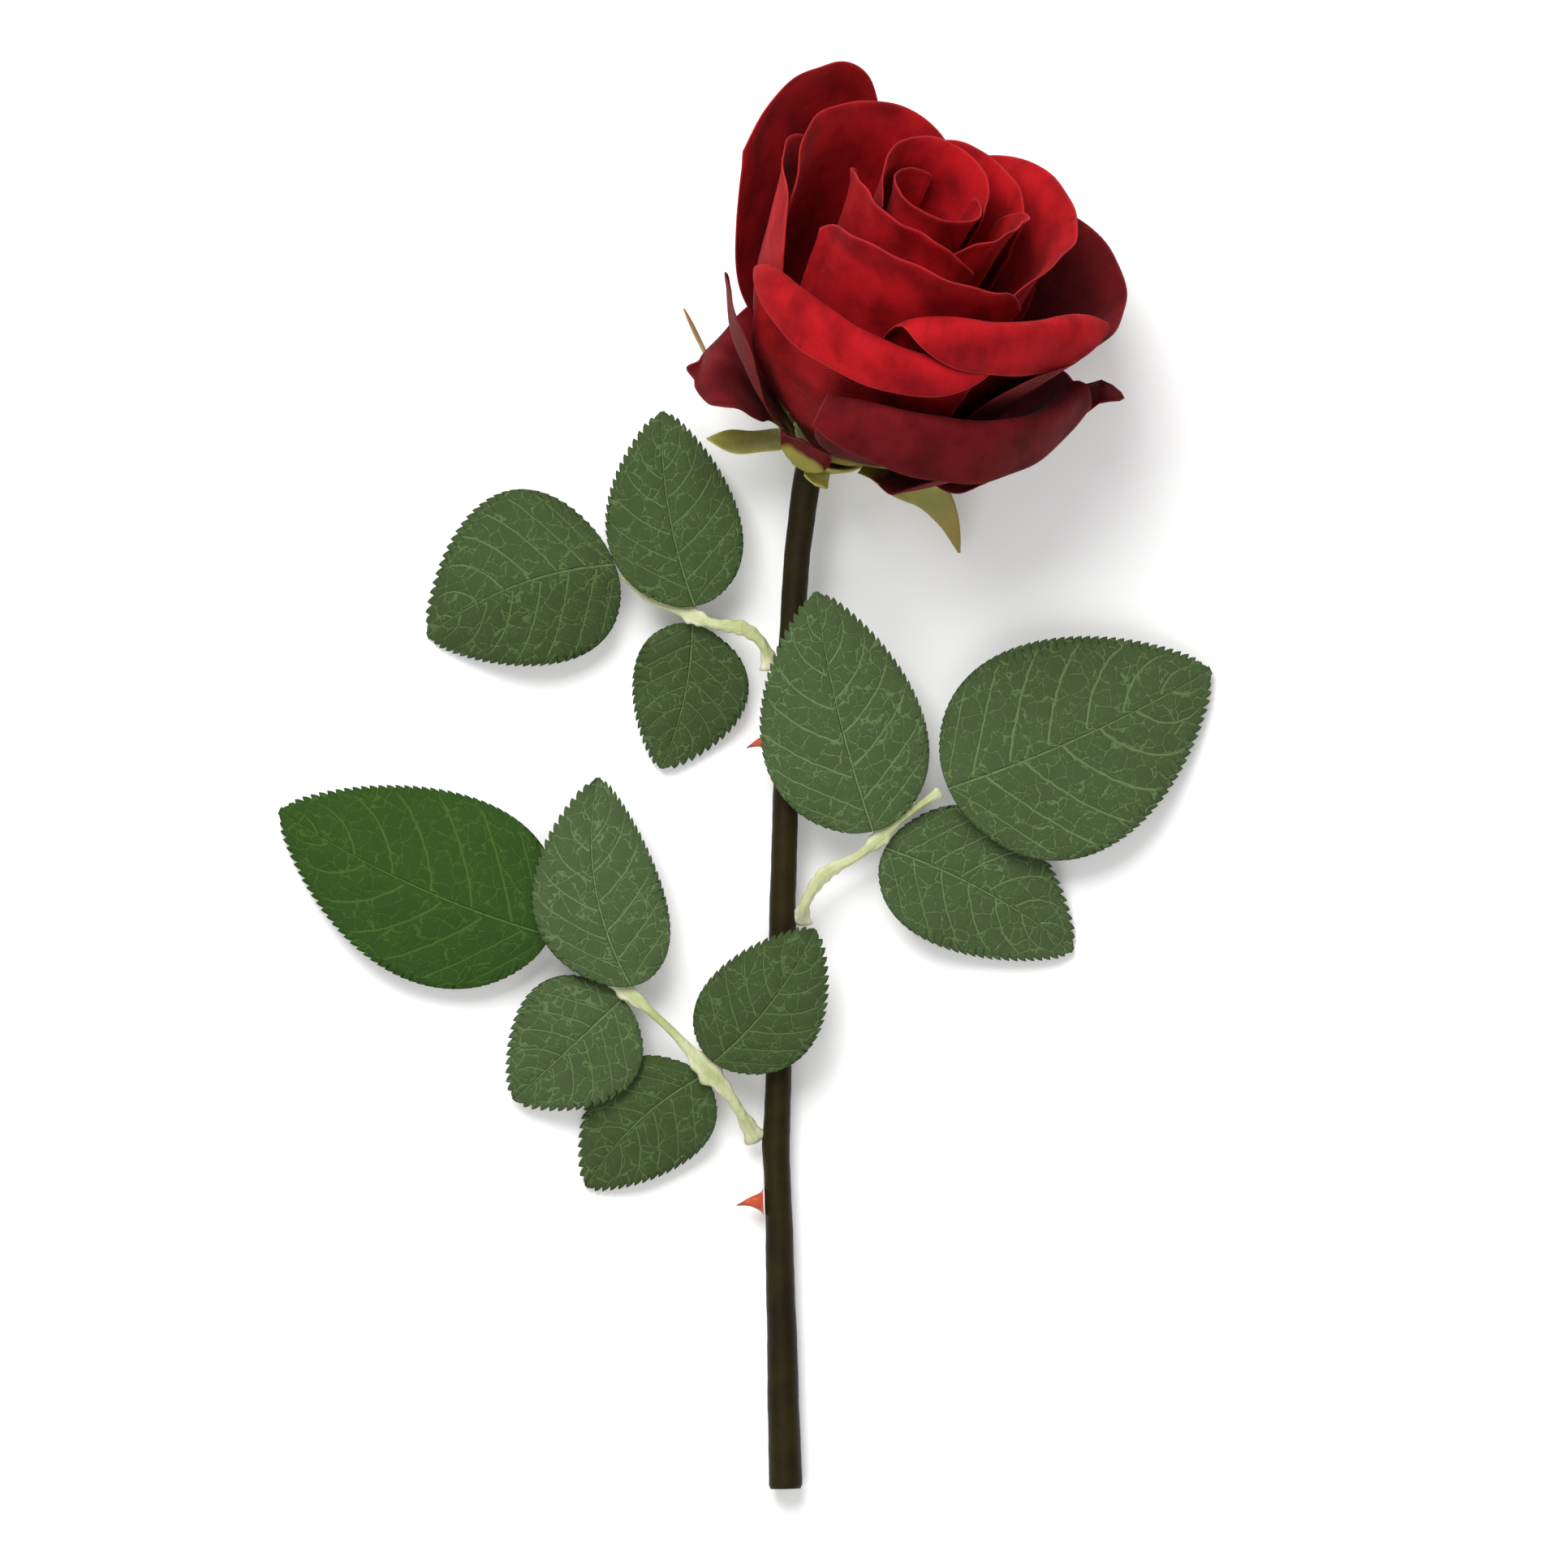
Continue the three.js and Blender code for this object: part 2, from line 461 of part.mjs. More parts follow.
// ---------------------------------------------------------------- leaf sprays
// Each spray has a petiole that runs from the stem through the side leaflets to the last leaflet.
// Points are [x, y, z]: x from the stem's start, y from the place where the petiole leaves the stem
// (at: that place as a share of the stem's length), and z for a stem whose top is as high there as
// drawnFor says.  The petiole starts FIT_GAP outside the stem.
// A leaflet has a base and a tip, the height of its middle above the straight line between them,
// half widths on its left and right, a sideways bend of the midrib, and how far the edges hang below
// the midrib as a share of the width (fold).
const SPRAYS = [
  {
    name: 'upper', side: -1, at: 0.7791, drawnFor: 15.23,
    path: [[-6, 6.8, 13.5], [-11, 10.7, 14.5], [-18.5, 11.9, 14.5],
      [-24.6, 14.3, 13.8], [-36, 18.9, 12.2], [-42.2, 25.3, 12]],
    leaflets: [
      { base: [-23.6, 16.7, 16.4], tip: [-32.1, 67, 7], lift: 2, left: 17, right: 17.6,
        bend: 2.5, fold: 0.05 },
      { base: [-44.4, 27.3, 12.2], tip: [-93, 8.9, 1.2], lift: 9, left: 22.5, right: 24,
        bend: -4, fold: 0.3 },
      { base: [-24.2, 11.7, 11.2], tip: [-32.3, -25.4, 3], lift: 0, left: 16, right: 14,
        bend: 2, fold: 0.1 },
    ],
  },
  {
    name: 'right', side: 1, at: 0.5363, drawnFor: 11.22,
    path: [[5, 5.6, 11], [10.1, 13.2, 13.5], [18.9, 18.2, 14.5],
      [23.9, 22.2, 14.5], [32, 29.2, 14.5], [40.3, 34.8, 14.5]],
    leaflets: [
      { base: [22.6, 24.6, 16.8], tip: [7.8, 86.3, 20], lift: 1.5, left: 21.5, right: 21,
        bend: 1.5, fold: 0.08 },
      { base: [42.4, 35.6, 15.6], tip: [110.4, 66.3, 3], lift: 5, left: 28, right: 29,
        bend: -2, fold: 0.16 },
      { base: [26, 20, 12.4], tip: [74.6, -6.5, 2], lift: 1.5, left: 19.5, right: 18,
        bend: 2.5, fold: 0.1 },
    ],
  },
  {
    name: 'lower', side: -1, at: 0.33, drawnFor: 9.04,
    path: [[-15.1, 12.9, 10.5], [-21.2, 19.7, 12], [-30.2, 29.5, 12.2],
      [-39.6, 37.8, 12], [-46, 42.7, 11], [-59, 52.2, 9.5]],
    leaflets: [
      { base: [-18.6, 20.9, 14.2], tip: [7.6, 55.2, 17], lift: 2.5, left: 16, right: 15,
        bend: -2.5, fold: 0.1 },
      { base: [-21.6, 17.1, 9.4], tip: [-51.7, -11.6, 2], lift: 1, left: 16, right: 15,
        bend: -3, fold: 0.12 },
      { base: [-40.2, 40.7, 14.6], tip: [-48.8, 94.5, 6], lift: 3, left: 17, right: 17,
        bend: 5, fold: 0.08 },
      { base: [-42.4, 37.1, 10.2], tip: [-70.5, 10.9, 4], lift: 3.5, left: 17.5, right: 17.5,
        bend: 0, fold: 0.06 },
      { base: [-61.2, 53.7, 9.4], tip: [-131.5, 86, 1.2], lift: 4.5, left: 23, right: 27,
        bend: 3, fold: 0.16 },
    ],
  },
];
const BASE_ROUNDNESS = 0.5;       // the leaf opens as a root of the distance from its base
const TIP_SHARPNESS = 0.85;       // and closes nearly straight at its tip
const WIDEST = BASE_ROUNDNESS / (BASE_ROUNDNESS + TIP_SHARPNESS);
const LEAF_END_WIDTH = 0.035;     // of the blunt ends, as a share of the half width

function leafWidth(along) {
  const outline = (at) => at ** BASE_ROUNDNESS * (1 - at) ** TIP_SHARPNESS;
  return Math.max(LEAF_END_WIDTH, outline(along) / outline(WIDEST));
}

// A point of a spray on the rose.  All leaflets together are scaled in plan from the petiole's start.
function inSpray(spray, [x, y, z]) {
  const { centre, radius } = stemAt(spray.at * STEM_LENGTH);
  return new THREE.Vector3(
    x * LEAF_SCALE, centre.y + y * LEAF_SCALE, (z * (centre.z + radius)) / spray.drawnFor);
}

function leafGrid(spray, leaf) {
  const base = inSpray(spray, leaf.base);
  const run = inSpray(spray, leaf.tip).sub(base);
  const left = new THREE.Vector3(-run.y, run.x, 0).normalize();
  const grid = [];
  for (let i = 0; i <= LEAF_ROWS; i += 1) {
    const along = i / LEAF_ROWS;
    const arch = 4 * along * (1 - along) * LEAF_SCALE;
    const spine = base.clone().addScaledVector(run, along).addScaledVector(left, arch * leaf.bend);
    spine.z += arch * leaf.lift;
    const cells = [];
    for (let j = 0; j <= LEAF_COLUMNS; j += 1) {
      const across = (2 * j) / LEAF_COLUMNS - 1;
      const half = (across > 0 ? leaf.left : leaf.right) * leafWidth(along) * LEAF_SCALE;
      const point = spine.clone().addScaledVector(left, across * half);
      point.z -= leaf.fold * Math.abs(across) * half;
      cells.push(point);
    }
    grid.push(cells);
  }
  return grid;
}

function petiolePath(spray) {
  const { centre, radius } = stemAt(spray.at * STEM_LENGTH);
  const start = centre.clone();
  start.x += spray.side * (radius + FIT_GAP + PETIOLE_RADIUS);
  return [start, ...spray.path.map((point) => inSpray(spray, point))];
}

const PETIOLE_STEPS = 16;
const sprays = SPRAYS.flatMap((spray) => [
  piece(`petiole_${spray.name}`,
    rod(petiolePath(spray), (share) => PETIOLE_RADIUS * lerp(1, 0.75, share), PETIOLE_STEPS,
      PETIOLE_SIDES), 'petiole'),
  ...spray.leaflets.map((leaf, k) => (
    piece(`leaflet_${spray.name}_${k + 1}`, sheet(leafGrid(spray, leaf), LEAF_THICKNESS), 'leaf'))),
]);

// ---------------------------------------------------------------- thorns
// Both thorns sit on the left of the stem and point slightly down it.
const THORNS = [{ at: 0.7106, droop: 1.5 }, { at: 0.2733, droop: 1 }];
const THORN_BASE_RADIUS = 1.9;

function thorn({ at, droop }, index) {
  const { centre, radius } = stemAt(at * STEM_LENGTH);
  const root = centre.clone();
  root.x -= radius + FIT_GAP;
  const tip = root.clone().add(new THREE.Vector3(-THORN_LENGTH, -droop, 0));
  const waist = root.clone().lerp(tip, 0.5);
  waist.y += 0.4 * droop;
  return piece(`thorn_${index + 1}`,
    rod([root, waist, tip], (share) => THORN_BASE_RADIUS * (1 - share) ** 1.2 + 0.15, 5, 8), 'thorn');
}

// ---------------------------------------------------------------- the rose
const rose = new THREE.Group();
rose.name = 'cut_rose';
rose.add(bloom, stem, wire, ...sprays, ...THORNS.map(thorn));

// The origin is the middle of the footprint, on the table.
const box = new THREE.Box3().setFromObject(rose, true);
const middle = box.getCenter(new THREE.Vector3());
rose.position.set(-middle.x, -middle.y, -box.min.z);
rose.updateMatrixWorld(true);

export default rose;
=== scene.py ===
# %% [markdown]
# # An artificial cut rose, lying on a table
# The real thing is a silk flower: petals and leaflets stamped from woven cloth and pressed hot into
# shape, a moulded plastic stem with a steel wire in it, pale moulded leaf stalks, two glued thorns and
# a soft green calyx. Every piece here is drawn by the same few rules as the plain solids of the frame,
# only much finer, so each one lands where its solid is.

# %% Load the frame
import math

import bpy
import numpy as np
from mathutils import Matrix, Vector


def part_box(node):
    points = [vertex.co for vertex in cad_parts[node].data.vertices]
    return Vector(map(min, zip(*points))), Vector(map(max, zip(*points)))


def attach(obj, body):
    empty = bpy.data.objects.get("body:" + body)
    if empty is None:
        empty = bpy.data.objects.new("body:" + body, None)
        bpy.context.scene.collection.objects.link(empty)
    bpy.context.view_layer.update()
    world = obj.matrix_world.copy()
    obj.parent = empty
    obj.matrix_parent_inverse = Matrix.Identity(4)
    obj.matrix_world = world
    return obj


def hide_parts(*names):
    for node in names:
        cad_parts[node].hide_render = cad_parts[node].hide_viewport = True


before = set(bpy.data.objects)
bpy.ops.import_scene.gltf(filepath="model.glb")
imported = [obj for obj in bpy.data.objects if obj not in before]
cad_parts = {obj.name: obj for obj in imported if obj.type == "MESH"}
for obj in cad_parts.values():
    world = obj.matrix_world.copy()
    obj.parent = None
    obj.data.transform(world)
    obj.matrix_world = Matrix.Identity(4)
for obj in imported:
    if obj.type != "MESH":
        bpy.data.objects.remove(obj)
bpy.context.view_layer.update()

MM = 0.001
print("solids in the frame:", len(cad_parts))

# %% [markdown]
# ## Where the flower head sits
# All drawing is done in millimetres in the maker's own frame: the cut end of the stem at zero, the
# stem along +Y. The flower head has a frame of its own, which looks up from the table and turns a
# little to the right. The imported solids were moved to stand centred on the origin; the core of the
# flower is a turned cone, so its corner tells exactly how far.

# %% The flower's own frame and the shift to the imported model
BLOOM_RISE = math.radians(34)
BLOOM_TURN = math.radians(25)
BLOOM_BASE = np.array([10.2, 273.0, 22.6722])
BLOOM_AXIS = np.array([math.cos(BLOOM_RISE) * math.sin(BLOOM_TURN),
                       math.cos(BLOOM_RISE) * math.cos(BLOOM_TURN), math.sin(BLOOM_RISE)])
BLOOM_UPPER = np.array([-math.sin(BLOOM_RISE) * math.sin(BLOOM_TURN),
                        -math.sin(BLOOM_RISE) * math.cos(BLOOM_TURN), math.cos(BLOOM_RISE)])
BLOOM_RIGHT = np.array([math.cos(BLOOM_TURN), -math.sin(BLOOM_TURN), 0.0])
CORE_PROFILE = [(0, -4.4), (3.4, -4.4), (8.2, -2), (8.9, -0.6), (8.3, 1.4), (7.2, 3.2), (6, 5.1),
                (4.4, 7.4), (3, 9), (1.6, 9.8), (0, 10.1)]
CORE_SIDES = 20


def in_bloom(outward, turn, up):
    """Points of the flower: distance from its axis, place round it in degrees, height along it."""
    outward, turn, up = np.broadcast_arrays(outward, np.radians(turn), up)
    return (BLOOM_BASE + (outward * np.sin(turn))[..., None] * BLOOM_RIGHT
            + (outward * np.cos(turn))[..., None] * BLOOM_UPPER + up[..., None] * BLOOM_AXIS)


core_radii, core_heights = np.array(CORE_PROFILE).T
core_corners = in_bloom(core_radii[None, :], (360 / CORE_SIDES) * np.arange(CORE_SIDES)[:, None],
                        core_heights[None, :]).reshape(-1, 3)
SHIFT = np.array(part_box("bloom_core")[0]) / MM - core_corners.min(0)
print("shift to the packed model, mm:", SHIFT.round(3))

# %% [markdown]
# ## Smooth lines
# Two kinds of smooth line run through a few points. A petal's side view is a plain Catmull-Rom line,
# and a stem or stalk is a centripetal one, which doesn't loop where points stand close. Both are
# walked by length, so that steps along them are even.

# %% Smooth side views
LINE_STEPS = 40             # between two given points


def smooth(x, low, high):
    """Rises softly from 0 at low to 1 at high."""
    t = np.clip((x - low) / (high - low), 0, 1)
    return t * t * (3 - 2 * t)


def walked(points):
    """The length walked to each point of a line."""
    return np.concatenate([[0], np.cumsum(np.linalg.norm(np.diff(points, axis=0), axis=1))])


def profile_line(knots):
    """A plain Catmull-Rom line with repeated ends, finely stepped, and the length to each step."""
    knots = np.array(knots, float)
    padded = np.vstack([knots[:1], knots, knots[-1:]])
    steps = np.arange(LINE_STEPS)[:, None] / LINE_STEPS
    spans = []
    for a, b, c, d in zip(padded, padded[1:], padded[2:], padded[3:]):
        spans.append(b + 0.5 * (c - a) * steps + (a - 2.5 * b + 2 * c - 0.5 * d) * steps ** 2
                     + (1.5 * (b - c) + 0.5 * (d - a)) * steps ** 3)
    line = np.vstack([*spans, knots[-1:]])
    return line, walked(line)


print("walked from (0, 0) to (3, 4):", round(float(profile_line([(0, 0), (3, 4)])[1][-1]), 3))

# %% Smooth lines for rods
def rod_line(knots, count):
    """A centripetal line at count + 1 even steps: centres, directions, sides and normals."""
    knots = np.array(knots, float)
    padded = np.vstack([2 * knots[0] - knots[1], knots, 2 * knots[-1] - knots[-2]])
    steps = np.arange(LINE_STEPS)[:, None] / LINE_STEPS
    spans = []
    for a, b, c, d in zip(padded, padded[1:], padded[2:], padded[3:]):
        before, span, after = (np.linalg.norm(q - p) ** 0.5 for p, q in ((a, b), (b, c), (c, d)))
        leave = ((b - a) / before - (c - a) / (before + span) + (c - b) / span) * span
        arrive = ((c - b) / span - (d - b) / (span + after) + (d - c) / after) * span
        spans.append(b + leave * steps + (3 * (c - b) - 2 * leave - arrive) * steps ** 2
                     + (2 * (b - c) + leave + arrive) * steps ** 3)
    line = np.vstack([*spans, knots[-1:]])
    length = walked(line)
    even = np.linspace(0, length[-1], count + 1)
    centre = np.stack([np.interp(even, length, axis) for axis in line.T], 1)
    along = np.gradient(centre, axis=0)
    along /= np.linalg.norm(along, axis=1)[:, None]
    side = np.stack([along[:, 1], -along[:, 0], 0 * even], 1)
    side /= np.linalg.norm(side, axis=1)[:, None]
    return centre, along, side, np.cross(side, along), even


print("centres on a rod of 10 steps:", len(rod_line([(0, 0, 0), (1, 0, 0)], 10)[0]))

# %% [markdown]
# ## Skins and cloth
# Blender could thicken a sheet with its Solidify modifier, but then the rim is a hard square step.
# Stamped cloth has a soft rim, so the sheet is thickened here by hand: one skin above, one below and a
# middle row of points that rounds the rim. Rods and tubes are skinned from rings of points. Each
# vertex also keeps its place on the flat cloth, so that weave and veins follow the cloth however it
# bends.

# %% Cloth from a grid of points
def grid_faces(rows, columns, wraps=False):
    """Four-cornered faces between neighbouring points of a grid."""
    index = np.arange(rows * columns).reshape(rows, columns)
    if wraps:
        index = np.hstack([index, index[:, :1]])
    return np.stack([index[:-1, :-1], index[:-1, 1:], index[1:, 1:], index[1:, :-1]], -1).reshape(-1, 4)


def unit(vectors):
    """The same directions with length 1."""
    return vectors / np.maximum(np.linalg.norm(vectors, axis=-1, keepdims=True), 1e-9)


def sheet_normals(points, faces):
    """One smooth normal for each point of an open sheet."""
    across = np.cross(points[faces[:, 2]] - points[faces[:, 0]], points[faces[:, 3]] - points[faces[:, 1]])
    normals = np.zeros_like(points)
    for corner in range(4):
        np.add.at(normals, faces[:, corner], across)
    return unit(normals)


def thicken(points, faces, thickness, notes):
    """A closed sheet of even thickness with a rounded rim. notes are values kept for each point."""
    count = len(points)
    normals = sheet_normals(points, faces)
    starts = faces.ravel()
    ends = np.roll(faces, -1, axis=1).ravel()
    open_edge = ~np.isin(starts * count + ends, ends * count + starts)
    starts, ends = starts[open_edge], ends[open_edge]
    outward = np.zeros_like(points)
    for end in (starts, ends):
        np.add.at(outward, end, np.cross(points[ends] - points[starts], normals[end]))
    rim = np.unique(starts)
    place = np.zeros(count, int)
    place[rim] = 2 * count + np.arange(len(rim))
    half = normals * np.reshape(thickness, (-1, 1)) / 2
    reach = unit(outward[rim]) * np.linalg.norm(half[rim], axis=1)[:, None]
    solid = np.vstack([points + half, points - half, points[rim] + reach])
    skins = [faces, faces[:, ::-1] + count, np.stack([ends, starts, place[starts], place[ends]], 1),
             np.stack([place[ends], place[starts], starts + count, ends + count], 1)]
    kept = {name: np.concatenate([value, value, value[rim]]) for name, value in notes.items()}
    kept["under"] = np.concatenate([np.zeros(count), np.ones(count), np.full(len(rim), 0.5)])
    return solid, np.vstack(skins), kept


print("faces of a grid of 3 by 3 points:", len(grid_faces(3, 3)))

# %% Rods and tubes from rings
def ring_skin(rings, loop=False):
    """Faces over rings of points. A loop joins the last ring to the first; a rod gets two flat ends."""
    count, sides = rings.shape[:2]
    faces = [list(face) for face in grid_faces(count, sides, wraps=True)]
    if loop:
        last = (count - 1) * sides
        for k in range(sides):
            following = (k + 1) % sides
            faces.append([last + k, last + following, following, k])
    else:
        faces.append(list(range(sides))[::-1])
        faces.append(list(range((count - 1) * sides, count * sides)))
    return rings.reshape(-1, 3), faces


def signed_volume(points, faces):
    """Positive where the faces look outwards."""
    total = 0.0
    for face in faces:
        a, b, *rest = points[np.array(face)]
        for c in rest:
            total += np.dot(a, np.cross(b, c))
            b = c
    return total


print("faces of a rod of 4 rings with 6 sides:", len(ring_skin(np.zeros((4, 6, 3)))[1]))

# %% One Blender piece from points and faces
def add_piece(name, points, faces, finish, slot, notes=None):
    """Makes the mesh, gives it its finish, rides it on the body and stands it for its solid."""
    if signed_volume(points - points.mean(0), faces) < 0:
        faces = [list(face)[::-1] for face in faces]
    mesh = bpy.data.meshes.new(name)
    mesh.from_pydata(((points + SHIFT) * MM).tolist(), [], [[int(k) for k in face] for face in faces])
    mesh.polygons.foreach_set("use_smooth", [True] * len(mesh.polygons))
    for note, value in (notes or {}).items():
        value = np.asarray(value, np.float32)
        kind, field = ("FLOAT", "value") if value.ndim == 1 else ("FLOAT_VECTOR", "vector")
        mesh.attributes.new(note, kind, "POINT").data.foreach_set(field, value.ravel())
    mesh.materials.append(finish)
    node = name.rsplit("_", 1)[0]
    piece = bpy.data.objects.new(name, mesh)
    bpy.context.scene.collection.objects.link(piece)
    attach(piece, "root")
    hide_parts(node)
    return piece


print("helpers for cloth, rods and pieces are ready")

# %% [markdown]
# ## Sums written as plain expressions
# A finish is a net of nodes, and its maths is hard to read as a list of Math nodes. One small class
# wraps a node's output, so that `1 - mask` or `weave * 0.2` adds the Math node for it. A second class
# holds one finish: it makes any other node by one method, mixes colours, and joins the results to the
# surface shader.

# %% The class for sums
class Flow:
    """One output of a node. Sums with it add Math nodes."""

    def __init__(self, tree, socket):
        self.tree = tree
        self.socket = socket

    def join(self, operation, *values):
        node = self.tree.nodes.new("ShaderNodeMath")
        node.operation = operation
        for place, value in zip(node.inputs, values):
            if isinstance(value, Flow):
                self.tree.links.new(value.socket, place)
            else:
                place.default_value = value
        return Flow(self.tree, node.outputs[0])

    def __add__(self, other):
        return self.join("ADD", self, other)

    def __sub__(self, other):
        return self.join("SUBTRACT", self, other)

    def __rsub__(self, other):
        return self.join("SUBTRACT", other, self)

    def __mul__(self, other):
        return self.join("MULTIPLY", self, other)

    def __abs__(self):
        return self.join("ABSOLUTE", self)

    def at_least(self, other):
        return self.join("MAXIMUM", self, other)

    def sine(self):
        return self.join("SINE", self)

    def fraction(self):
        return self.join("FRACT", self)

    __radd__ = __add__
    __rmul__ = __mul__


print("sums for finishes are ready")

# %% The class for one finish
class Finish:
    """A node material with one surface shader, whose steady values are set at once."""

    def __init__(self, name, **steady):
        self.material = bpy.data.materials.new(name)
        self.material.use_nodes = True
        self.tree = self.material.node_tree
        self.surface = self.tree.nodes["Principled BSDF"]
        for socket, value in steady.items():
            self.surface.inputs[socket.replace("_", " ").title().replace("Ior", "IOR")].default_value = value

    def node(self, kind, settings=None, inputs=None, out=0):
        made = self.tree.nodes.new("ShaderNode" + kind)
        for name, value in (settings or {}).items():
            setattr(made, name, value)
        for place, value in (inputs or {}).items():
            if isinstance(value, Flow):
                self.tree.links.new(value.socket, made.inputs[place])
            else:
                made.inputs[place].default_value = value
        return Flow(self.tree, made.outputs[out])

    def note(self, name, out="Fac"):
        """A value kept on the mesh. Fac is a number, Vector is a place."""
        return self.node("Attribute", {"attribute_name": name}, out=out)

    def step(self, value, low, high):
        """Rises softly from 0 at low to 1 at high; falls if low is above high."""
        if low > high:
            return 1 - self.step(value, high, low)
        return self.node("MapRange", {"interpolation_type": "SMOOTHSTEP"},
                         {"Value": value, "From Min": low, "From Max": high})

    def noise(self, place, scale, detail=2.0, roughness=0.5, distortion=0.0):
        return self.node("TexNoise", {}, {"Vector": place, "Scale": scale, "Detail": detail,
                                          "Roughness": roughness, "Distortion": distortion})

    def mix(self, share, first, second):
        """From the first colour to the second."""
        first, second = (c if isinstance(c, Flow) else (*c, 1.0) for c in (first, second))
        return self.node("Mix", {"data_type": "RGBA"}, {0: share, 6: first, 7: second}, out=2)

    def finish(self, colour, roughness, height, depth):
        """Joins the colour, the roughness and a relief of the given depth, in metres, to the surface."""
        bump = self.node("Bump", {}, {"Height": height, "Distance": depth, "Strength": 1.0})
        for name, value in (("Base Color", colour), ("Roughness", roughness), ("Normal", bump)):
            self.tree.links.new(value.socket, self.surface.inputs[name])
        return self.material


print("classes for finishes are ready")

# %% [markdown]
# ## Petal cloth
# The petals are a close woven polyester with a dull, velvety face. The colour is a printed red with a
# paler, worn line along the cut rim; painted shade darkens it towards each petal's foot, deep in the
# flower. The weave could be an image; here two sets of fine ridges cross at a slant, which stays sharp
# at any size. The outermost petals and two more are a darker, more purple wine-red copy of the cloth,
# partly painted shade where they turn away from the light, with a yellow-green foot, as the dye runs out
# there.

# %% The weave, and a darker tone of a colour
def weave(finish, place, pitch, slant):
    """Crossed threads, 0 between them and 1 on top, from a place on the cloth in millimetres."""
    split = finish.node("SeparateXYZ", {}, {"Vector": place})
    across = Flow(finish.tree, split.socket.node.outputs["X"])
    along = Flow(finish.tree, split.socket.node.outputs["Y"])
    turn = 2 * math.pi / pitch
    warp = ((across * math.cos(slant) + along * math.sin(slant)) * turn).sine()
    weft = ((along * math.cos(slant) - across * math.sin(slant)) * turn).sine()
    return (warp * weft) * 0.5 + 0.5


def darker(colour, share):
    """The same colour with only a share of its light."""
    return tuple(share * channel for channel in colour)


print("half as light as white:", darker((1, 1, 1), 0.5))

# %% Petal cloth: shares of a colour, and places in millimetres on the cloth
WEAVE_PITCH = 0.55          # from thread to thread
PETAL_SLANT = math.radians(38)
CLOUD_SCALE, STREAK_SCALE, FUZZ_SCALE = 0.09, (0.5, 0.045, 1.0), 2.4
STREAK_SHARE = 0.12         # of the streaks in the fullness of the dye; clouds are the rest
FULL_DYE = (0.30, 0.66)     # from the deep red to the light one
SCORCH, SCORCH_SCALE, SCORCH_MARKS = 0.35, 0.05, (0.52, 0.68)       # dark marks of the iron
SCORCH_REACH = (5.0, 0.6)   # distances from the rim where the marks begin and are full
WORN, WORN_RIM, WORN_FUZZ = 0.4, (0.85, 0.3), 0.7       # the rim's colour on the worn line
PAINTED_DEPTH_SHADE, PAINTED_DEPTH_REACH = 0.62, (0.95, 0.2)            # painted shade: darker towards the foot, deep in the flower
SCORCH_TONE, PAINTED_DEPTH_TONE, THREAD_TONE = 0.25, 0.22, 0.4  # how light each is beside the deep red
THREAD_SHADE = 0.16         # between the threads
PETAL_RELIEF = 0.0001       # in metres


def petal_cloth(name, light, deep, rim_colour, foot, foot_reach):
    """A petal's finish: light and deep reds, the rim's colour, and the foot's colour and how far it goes."""
    cloth = Finish(name, sheen_weight=0.06, sheen_roughness=0.4, sheen_tint=(1.0, 0.3, 0.25, 1.0),
                   specular_ior_level=0.12)
    place = cloth.note("cloth", "Vector")
    rim = cloth.note("rim")
    share = cloth.note("share")
    threads = weave(cloth, place, WEAVE_PITCH, PETAL_SLANT)
    clouds = cloth.noise(place, CLOUD_SCALE, 3.0)
    stretch = cloth.node("VectorMath", {"operation": "MULTIPLY"}, {0: place, 1: STREAK_SCALE})
    streaks = cloth.noise(stretch, 1.0, 3.0, 0.6)
    fuzz = cloth.noise(place, FUZZ_SCALE, 2.0, 0.7)
    fullness = cloth.step(clouds * (1 - STREAK_SHARE) + streaks * STREAK_SHARE, *FULL_DYE)
    colour = cloth.mix(fullness, deep, light)
    marks = cloth.noise(place, SCORCH_SCALE, 1.0)
    scorch = cloth.step(marks, *SCORCH_MARKS) * cloth.step(rim, *SCORCH_REACH)
    colour = cloth.mix(scorch * SCORCH, colour, darker(deep, SCORCH_TONE))
    worn = cloth.step(rim + fuzz * WORN_FUZZ, *WORN_RIM)
    colour = cloth.mix(worn * WORN, colour, rim_colour)
    # painted shade: the red darkens towards each petal's foot, where the flower is deep
    depth = cloth.step(share + clouds * 0.25, *PAINTED_DEPTH_REACH)
    colour = cloth.mix(depth * PAINTED_DEPTH_SHADE, colour, darker(deep, PAINTED_DEPTH_TONE))
    foot_mask = cloth.step(share + clouds * 0.16, foot_reach + 0.14, foot_reach - 0.08)
    colour = cloth.mix(foot_mask, colour, foot)
    colour = cloth.mix((1 - threads) * THREAD_SHADE, colour, darker(deep, THREAD_TONE))
    roughness = 0.74 + fuzz * 0.2 - fullness * 0.06
    return cloth.finish(colour, roughness, threads * 0.6 + fuzz * 0.7 + streaks * 0.6, PETAL_RELIEF)


print("threads of the petals, mm apart:", WEAVE_PITCH)

# %% The three petal finishes
# The wine reds are a darker, more purple copy of the petal red, partly painted shade for petals that turn
# away from the light
SHADED_WINE_REDS = ((0.15, 0.0034, 0.0062), (0.075, 0.0010, 0.0024), (0.25, 0.03, 0.035))  # light, deep, rim
PETAL_RED = petal_cloth("petal cloth red", (0.44, 0.0055, 0.010), (0.22, 0.0015, 0.0042),
                        (0.46, 0.040, 0.044), (0.16, 0.012, 0.010), 0.02)
PETAL_WINE_SHADED = petal_cloth("petal cloth wine", *SHADED_WINE_REDS, (0.30, 0.25, 0.05), 0.17)
PETAL_GREEN_FOOT = petal_cloth("petal cloth green foot", *SHADED_WINE_REDS, (0.36, 0.33, 0.07), 0.5)
print("petal finishes:", PETAL_RED.name, "and", PETAL_WINE_SHADED.name, "and", PETAL_GREEN_FOOT.name)

